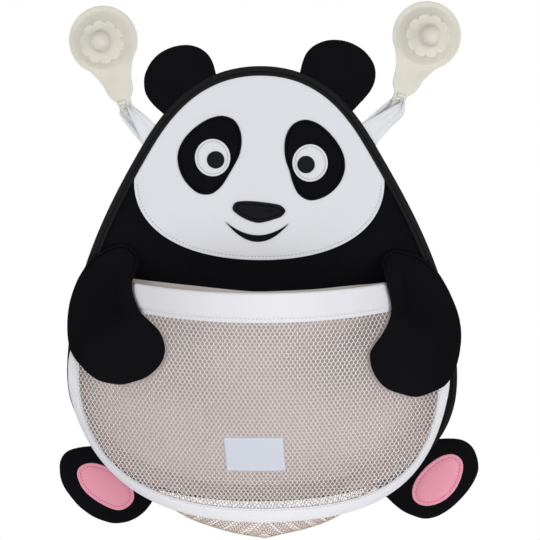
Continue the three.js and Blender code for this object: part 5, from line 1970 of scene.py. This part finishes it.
@dataclass
class Hangers:
    """The suction cups with their moulded tabs, and the ribbon loops that hang the body from them.

    A cup's own points are (across, up, depth) from its middle, with its tab pointing down.
    """

    centres: dict = field(default_factory=lambda: {"left": (-142.5, 209.8), "right": (150.9, 213.9)})
    tilts: dict = field(default_factory=lambda: {"left": 18.5, "right": -23.8})
    radius: float = 31.2
    lip: float = 2.0
    hollow: float = 3.4
    disc: float = 2.2  # thickness of the disc round the dome
    dome_radius: float = 26.4
    petals: int = 10
    petal_tip: float = 20.0
    petal_gap: float = 17.0
    petal_turn: float = 11.5  # degrees from level to a gap between two petals
    nub_radius: float = 9.2
    nub_depth: float = 15.6
    tab_length: float = 64.5
    tab_back: float = 1.9
    tab_front: float = 4.7
    # Half widths of the tab by the distance from the cup's middle
    tab_halves: tuple = (
        (61.6, 0.0), (61.3, 4.4), (60, 5.7), (57, 6.9), (54.4, 8.9), (51, 11.1), (46, 12.4), (40, 13.4),
        (35, 15.0), (30, 17.2), (23.2, 20.86), (17.77, 25.64))
    # Where the soft plate and nub have come to stand, from the cup's middle
    leans: dict = field(default_factory=lambda: {
        "left": ((-0.7, -1.2), (-1.8, 0.0)), "right": ((0.1, 0.2), (2.0, 1.3))})
    # The middle of the bead across the tab's end, and the root and tip of the tongue over the bar
    beads: dict = field(default_factory=lambda: {"left": -2.4, "right": 1.2})
    tongues: dict = field(default_factory=lambda: {
        "left": ((-2.1, -58.4), (-0.8, -71)), "right": ((-0.2, -58.4), (-2.3, -69.6))})
    bar_depth: float = 3.4
    bar_radius: float = 2.0
    bar_half: float = 5.9
    bead_half: float = 4.5
    bead_up: float = -58.6
    post_at: float = 4.9  # from the tab's middle to the posts that hold the bar
    post_up: float = -58.5
    ribbon: float = 0.45
    ribbon_width: float = 20.0
    gather: float = 2.2  # how deep its folds are at the eye
    bend: float = 8.0  # how far out from the body's edge a ribbon bends
    stiff: float = 2.0  # how far inside its fold it starts to
    # Left and right edge of the layer in front, then of the layer behind, from the eye to the body
    ribbons: dict = field(default_factory=lambda: {
        "left": ((((1.4, 64.5), (1.5, 74), (4.0, 102.7)),
                  ((6.6, 64.5), (13.4, 75), (21.5, 88.4))),
                 (((-6.6, 64.5), (-7.8, 69.5), (-2.8, 85), (4.0, 102.7)),
                  ((-1.8, 64.5), (5, 73), (21.5, 88.4)))),
        "right": ((((2.8, 64.5), (-2.9, 71), (-22.4, 98.2)),
                   ((6.8, 64.5), (9.2, 75), (3.2, 91), (-1.7, 109.4))),
                  (((-5.8, 64.5), (-13, 78), (-22.4, 98.2)),
                   ((-1.4, 64.5), (3.5, 77), (0.6, 93), (-1.7, 109.4))))})

    def place(self, side: str, points: np.ndarray) -> np.ndarray:
        """Brings a cup's own points to their place.

        Args:
            side: left or right.
            points: (across, up, depth) from the cup's middle.

        Returns:
            The points as (x, z, depth).
        """
        turn, (cx, cz) = math.radians(self.tilts[side]), self.centres[side]
        x = points[..., 0] * math.cos(turn) - points[..., 1] * math.sin(turn) + cx
        z = points[..., 0] * math.sin(turn) + points[..., 1] * math.cos(turn) + cz
        return np.stack([x, z, points[..., 2]], -1)

    def outline(self, count: int) -> np.ndarray:
        """The edge of the disc and its tab.

        Args:
            count: how many points it has.

        Returns:
            A counterclockwise loop from the middle of the tab's end.
        """
        right = spline([(half, -down) for down, half in self.tab_halves], 10)
        start = math.atan2(right[-1][1], right[-1][0])
        turns = np.linspace(start, math.pi - start, 140)[1:-1]
        arc = np.stack([np.cos(turns), np.sin(turns)], 1) * self.radius
        return spaced(np.vstack([right, arc, right[::-1][:-1] * (-1, 1)]), count, closed=True)

    def front_of(self, flat: np.ndarray) -> np.ndarray:
        """The depth of the front of the disc and tab.

        Args:
            flat: points as (across, up).

        Returns:
            The depth at each point.
        """
        ramp = [soft((math.hypot(*p) - self.radius + 2) / 14) for p in flat]
        return np.array([mix(self.disc, self.tab_front, t) for t in ramp])

    def back_of(self, flat: np.ndarray) -> np.ndarray:
        """The depth of the back: a hollow, the flat lip round it, and the tab off the wall.

        Args:
            flat: points as (across, up).

        Returns:
            The depth at each point.
        """
        inner = self.radius - self.lip
        return np.array([self.hollow * max(0.0, 1 - (math.hypot(*p) / inner) ** 2)
                         + self.tab_back * soft((math.hypot(*p) - self.radius) / 5) for p in flat])

    def moulding_rings(self, side: str) -> list[np.ndarray]:
        """The rings of a cup's skin, from the middle of its back round its edge to the top of its nub.

        Args:
            side: left or right.

        Returns:
            Rings of points of equal count.
        """
        count = 480
        loop = self.outline(count)
        into = inward(loop)
        turns = np.unwrap(np.arctan2(loop[:, 1], loop[:, 0]))
        circle = np.stack([np.cos(turns), np.sin(turns)], 1)

        def ring(flat: np.ndarray, depth: np.ndarray | float) -> np.ndarray:
            """Puts flat points at a depth."""
            return np.column_stack([flat, np.broadcast_to(depth, (count,))])

        def edge(inset: float, lift: float) -> np.ndarray:
            """A ring of the rounded edge."""
            flat = loop + into * inset
            low = self.back_of(flat)
            return ring(flat, low + (self.front_of(flat) - low) * lift)

        rings = [ring(circle * r, self.back_of(circle * r)) for r in (0.4, 3, 7, 12, 17, 21.5, 25)]
        last = loop + into * 1.1
        spans = [last + (circle * 28 - last) * t for t in np.linspace(1, 0, 9)[:-1]]
        rings += [ring(flat, self.back_of(flat)) for flat in spans]
        rings += [edge(*pair) for pair in ((1.1, 0.0), (0.5, 0.04), (0.12, 0.2), (0.0, 0.5), (0.12, 0.8),
                                           (0.5, 0.96), (1.1, 1.0))]
        spans = [last + (circle * self.dome_radius - last) * t for t in np.linspace(0, 1, 10)[1:]]
        rings += [ring(flat, self.front_of(flat)) for flat in spans]
        dome = ((-0.3, 0.15), (-1, 0.65), (-2.2, 1.7), (-3.8, 3.2), (-5.6, 4.9), (-7.2, 6.2), (-8.2, 6.9))
        plate = np.array(self.leans[side][0])
        rings += [ring(circle * (self.dome_radius + dr) + plate * rise / dome[-1][1], self.disc + rise)
                  for dr, rise in dome]
        rings += self.flower_rings(side, turns, circle, ring)
        return rings

    def flower_rings(self, side: str, turns: np.ndarray, circle: np.ndarray,
                     ring: Callable) -> list[np.ndarray]:
        """The rings of the scalloped plate on the dome and of the round nub on it.

        Args:
            side: left or right.
            turns: the angle of each point in radians.
            circle: the point of a circle of radius 1 at each angle.
            ring: puts flat points at a depth.

        Returns:
            Rings from the plate's underside to the top of the nub.
        """
        step = 2 * math.pi / self.petals
        along = (turns + math.radians(self.tilts[side] - self.petal_turn)) % step / step * 2 - 1
        lobe = (1 - np.abs(along) ** 2.6) ** 0.6
        base = self.disc + 7.0
        plate, nub = (np.array(at) for at in self.leans[side])
        made = []
        for reach, wave, rise in ((-1.3, 0.8, 0.0), (-0.25, 1.0, 0.05), (0.0, 1.0, 0.35), (-0.05, 1.0, 0.8),
                                  (-0.4, 1.0, 1.15), (-1.0, 0.8, 1.3), (-2.2, 0.35, 1.5), (-3.6, 0.0, 1.8)):
            radius = self.petal_gap + reach
            radius = radius + (self.petal_tip - self.petal_gap) * (lobe * wave + 0.5 * (1 - wave))
            made.append(ring(circle * radius[:, None] + plate, base + rise))
        for r, rise in ((12.4, 2.35), (11.0, 3.0), (10.1, 3.8), (9.55, 4.8)):
            made.append(ring(circle * r + plate + (nub - plate) * rise / 6.4, base + rise))
        for a in np.linspace(0, math.pi / 2, 14):
            r = max(self.nub_radius * math.cos(a), 0.25)
            made.append(ring(circle * r + nub, self.nub_depth + self.nub_radius * math.sin(a)))
        return made

    @staticmethod
    def capsule(start: Sequence[float], end: Sequence[float], wide: float, thick: float) -> list[np.ndarray]:
        """The rings of a bar with round ends.

        Args:
            start: the middle of its first end.
            end: the middle of its other end.
            wide: half its width as seen from the front.
            thick: half its thickness.

        Returns:
            Rings of points of equal count.
        """
        a, b = np.array(start, float), np.array(end, float)
        length = float(np.linalg.norm(b - a))
        along = (b - a) / length
        aside = np.cross((0.0, 0.0, 1.0), along)
        aside /= np.linalg.norm(aside)
        out = np.cross(along, aside)
        turns = np.linspace(0, 2 * math.pi, 20, endpoint=False)
        rings = []
        for u in (1 - np.cos(np.linspace(0.06, 0.94, 17) * math.pi)) / 2:
            past = share((abs(2 * u - 1) * length / 2 - length / 2 + wide) / wide)
            size = math.sqrt(max(0.02, 1 - past * past))
            section = np.outer(np.cos(turns), aside) * wide + np.outer(np.sin(turns), out) * thick
            rings.append(a + (b - a) * u + size * section)
        return rings

    def build_cup(self, side: str) -> Piece:
        """Makes a suction cup: disc, dome, flower and nub in one skin, with the tab's bead, bar and tongue.

        Args:
            side: left or right.

        Returns:
            The cup.
        """
        d, at = self.bar_depth, -self.tab_length
        bead, (root, tip) = self.beads[side], self.tongues[side]
        shells = [self.moulding_rings(side),
                  self.capsule((bead - self.bead_half, self.bead_up, d + 0.9),
                               (bead + self.bead_half, self.bead_up - 0.1, d + 0.9), wide=2.3, thick=2.2),
                  self.capsule((-self.bar_half, at, d), (self.bar_half, at, d), wide=self.bar_radius,
                               thick=self.bar_radius),
                  *(self.capsule((x, self.post_up, d), (x, at - 1.2, d), wide=1.2, thick=1.5)
                    for x in (-self.post_at, self.post_at)),
                  self.capsule((*root, d + 1.0), (*tip, d + 0.9), wide=2.4, thick=1.0)]
        points, faces = [], []
        for rings in shells:
            size, start = len(rings[0]), len(points)
            for ring in rings:
                points += ring.tolist()
            faces += ring_faces(len(rings), size, start=start)
            first, last = len(points), len(points) + 1
            points += [rings[0].mean(0).tolist(), rings[-1].mean(0).tolist()]
            top = start + (len(rings) - 1) * size
            for i in range(size):
                j = (i + 1) % size
                faces += [(first, start + j, start + i), (top + i, top + j, last)]
        placed = self.place(side, np.array(points))
        return make_piece(f"suction_cup_{side}_moulding", placed, faces, Finishes.vinyl)

    def build_ribbon(self, side: str) -> tuple[Piece, float]:
        """Makes a ribbon that runs from the body round the bar of a tab and back, gathered in the eye.

        Args:
            side: left or right.

        Returns:
            The ribbon and its length in millimetres.
        """
        steps, columns, turns = 36, 48, 14
        round_bar = self.bar_radius + 0.5
        ws = np.linspace(0, 1, columns + 1)
        fold = np.sin(2 * math.pi * (1.5 * ws + 0.06))
        edges = [[spaced(spline(points, 12), steps) for points in layer] for layer in self.ribbons[side]]

        def across(layer: int, k: int) -> np.ndarray:
            """The flat points of a layer at a step down from the eye."""
            left, right = edges[layer][0][k], edges[layer][1][k]
            return left + (right - left) * ws[:, None]

        def row(layer: int, k: int) -> np.ndarray:
            """The points of a layer at a step down from the eye."""
            t = k / steps
            off = mix(round_bar, 0.4, soft(t * 1.25))
            if layer == 0:
                deep = self.gather * (1 - t) ** 0.8
                crest = 1.2 * math.sin(math.pi * t) * np.exp(-((ws - 0.36) / 0.2) ** 2)
                depth = self.bar_depth + off + deep * (1 + fold) / 2 * 1.6 + crest
            else:
                deep = 0.25 + 2.6 * t * (1 - t)
                depth = np.maximum(self.bar_depth - off - 0.3 + deep * fold, 0.4)
            flat = across(layer, k)
            return np.column_stack([flat[:, 0], -flat[:, 1], depth])

        rows = [row(0, k) for k in range(steps, -1, -1)]
        top, under = rows[-1], row(1, 0)
        for a in np.linspace(0, math.pi, turns)[1:-1]:
            swing = np.where(a < math.pi / 2, top[:, 2] - self.bar_depth, self.bar_depth - under[:, 2])
            swing = round_bar + (swing - round_bar) * abs(math.cos(a))
            x = top[:, 0] + (under[:, 0] - top[:, 0]) * soft(a / math.pi)
            rows.append(np.column_stack([x, -self.tab_length + round_bar * math.sin(a) * np.ones_like(x),
                                         self.bar_depth + swing * math.cos(a)]))
        rows += [row(1, k) for k in range(steps + 1)]
        surface = self.place(side, np.array(rows))
        normal = np.cross(np.gradient(surface, axis=0), np.gradient(surface, axis=1))
        normal /= np.maximum(np.linalg.norm(normal, axis=2, keepdims=True), 1e-9)
        thick = normal * self.ribbon / 2
        closed = np.concatenate([surface + thick, (surface - thick)[:, ::-1]], 1)
        piece = loft(f"ribbon_{side}_satin", closed, Finishes.satin, closed=False)
        return piece, length_of(surface[:, columns // 2])

    def build(self) -> None:
        """Builds the cups and ribbons."""
        for side in SIDES:
            cup = self.build_cup(side)
            stand_for(f"suction_cup_{side}", [cup], f"cup_{side}")
            ribbon, length = self.build_ribbon(side)
            stand_for(f"ribbon_{side}", [ribbon])
            point, out = fold_line(f"ribbon_{side}_fold")
            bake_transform(ribbon)
            log.info("hanger: %s", names_of((cup, ribbon)))


# Studio


@dataclass
class Studio:
    """A pale room with soft light, and the camera."""

    target: tuple = (0.00874, -0.004, 0.0)
    elevation: float = 7.5
    distance: float = 1.8
    focal_px: float = 1956.5
    frame_px: float = 540.0
    sensor_mm: float = 36.0
    floor_z: float = -2.4  # far enough off to see the object from below and behind too
    wall_y: float = 4.2
    sweep: float = 0.5  # the radius of the paper's curve from the floor up the wall
    half_room: float = 6.0
    near_y: float = -5.0
    ceiling_z: float = 5.0
    paper_steps: int = 24
    # Each lamp's place and width in metres and its power in watts
    lamps: dict = field(default_factory=lambda: {
        "key": ((-1.7, -1.8, 0.9), 1.6, 17.0), "fill": ((1.9, -1.6, 0.2), 1.6, 21.5),
        "low_left": ((-1.6, -1.4, -0.7), 1.2, 7.0), "low_fill": ((0.8, -2.0, -0.7), 1.4, 12.0)})
    room_light: float = 0.38

    def build_camera(self) -> None:
        """Puts up the camera."""
        data = bpy.data.cameras.new("camera")
        data.sensor_width = self.sensor_mm
        data.sensor_fit = "HORIZONTAL"
        data.lens = self.focal_px / self.frame_px * self.sensor_mm
        data.clip_start, data.clip_end = 0.05, 50
        camera = bpy.data.objects.new("camera", data)
        tilt = math.radians(self.elevation)
        camera.location = Vector(self.target) + Vector((0, -math.cos(tilt), math.sin(tilt))) * self.distance
        camera.rotation_euler = (math.pi / 2 - tilt, 0, 0)
        bpy.context.collection.objects.link(camera)
        bpy.context.scene.camera = camera

    @staticmethod
    def looked_at(tree: bpy.types.NodeTree) -> bpy.types.NodeSocket:
        """Tells what is looked at, directly, in gloss or through clear pieces, from what only lights.

        Args:
            tree: the tree of the paper or of the world.

        Returns:
            A socket that is 1 where it is looked at and 0 elsewhere.
        """
        path = add_node(tree, "ShaderNodeLightPath").outputs
        seen = add_node(tree, "ShaderNodeMath",
                        {0: path["Is Camera Ray"], 1: path["Is Glossy Ray"]}, operation="MAXIMUM")
        either = add_node(tree, "ShaderNodeMath",
                          {0: seen, 1: path["Is Transmission Ray"]}, operation="MAXIMUM")
        return either.outputs[0]

    def backdrop_paper(self) -> bpy.types.Material:
        """White paper that looks evenly white to the camera, in gloss and through clear pieces.

        Returns:
            The paper's material.
        """
        material, tree = blank_material("white backdrop paper")
        paper = add_node(tree, "ShaderNodeBsdfPrincipled",
                         {"Base Color": linear("#E4E4E6"), "Roughness": 0.9})
        white = add_node(tree, "ShaderNodeEmission", {"Color": (1, 1, 1, 1), "Strength": 1.0})
        both = add_node(tree, "ShaderNodeMixShader", {0: self.looked_at(tree), 1: paper, 2: white})
        add_node(tree, "ShaderNodeOutputMaterial", {"Surface": both})
        return material

    def build_room(self) -> None:
        """Makes the floor and the backdrop, as one sheet of paper that curves up."""
        foot_y, foot_z = self.wall_y - self.sweep, self.floor_z + self.sweep
        side = [(self.near_y, self.floor_z)]
        for turn in np.linspace(0, math.pi / 2, self.paper_steps):
            side.append((foot_y + self.sweep * math.sin(turn), foot_z - self.sweep * math.cos(turn)))
        side.append((self.wall_y, self.ceiling_z))
        points = [(x, y, z) for y, z in side for x in (-self.half_room, self.half_room)]
        faces = [(2 * i, 2 * i + 1, 2 * i + 3, 2 * i + 2) for i in range(len(side) - 1)]
        mesh = bpy.data.meshes.new("floor_and_backdrop")
        mesh.from_pydata(points, [], faces)
        mesh.polygons.foreach_set("use_smooth", [True] * len(mesh.polygons))
        mesh.materials.append(self.backdrop_paper())
        room = bpy.data.objects.new("floor_and_backdrop", mesh)
        bpy.context.collection.objects.link(room)
        room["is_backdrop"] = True

    def build_lights(self) -> None:
        """Hangs large soft lamps round the object, and fills the room with pale light."""
        for name, (place, size, watts) in self.lamps.items():
            data = bpy.data.lights.new(name, "AREA")
            data.shape, data.size, data.energy = "DISK", size, watts
            lamp = bpy.data.objects.new(name, data)
            lamp.location = place
            lamp.rotation_euler = (-Vector(place)).to_track_quat("-Z", "Y").to_euler()
            bpy.context.collection.objects.link(lamp)
        world = bpy.data.worlds.new("pale_room")
        bpy.context.scene.world = world
        world.use_nodes = True
        tree = world.node_tree
        tree.nodes.clear()
        strength = add_node(tree, "ShaderNodeMapRange",
                            {"Value": self.looked_at(tree), "To Min": self.room_light, "To Max": 1.0})
        pale = add_node(tree, "ShaderNodeBackground", {"Strength": strength, "Color": (1, 1, 1, 1)})
        add_node(tree, "ShaderNodeOutputWorld", {"Surface": pale})

    def build(self) -> None:
        """Puts up the camera, the room and the lamps."""
        self.build_camera()
        self.build_room()
        self.build_lights()
        bpy.context.scene.view_settings.view_transform = "Standard"


def main() -> None:
    """Builds the organizer's pieces in order, then the studio."""
    logging.basicConfig(level=logging.INFO, format="%(name)s: %(message)s")
    Studio().build()
    stitch, net = RunningStitch(), KnittedNet()
    body = Body()
    body.build(stitch)
    Face(body).build(stitch)
    Flaps(body).build(stitch)
    pocket = Pocket(body)
    pocket.build(stitch, net)
    Arms(pocket).build(stitch)
    Hangers().build()
    boxes = {"cad": CAD_BOX, "visual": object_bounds()}
    {name: [[float(v) for v in corner] for corner in box] for name, box in boxes.items()}


if __name__ == "__main__":
    main()
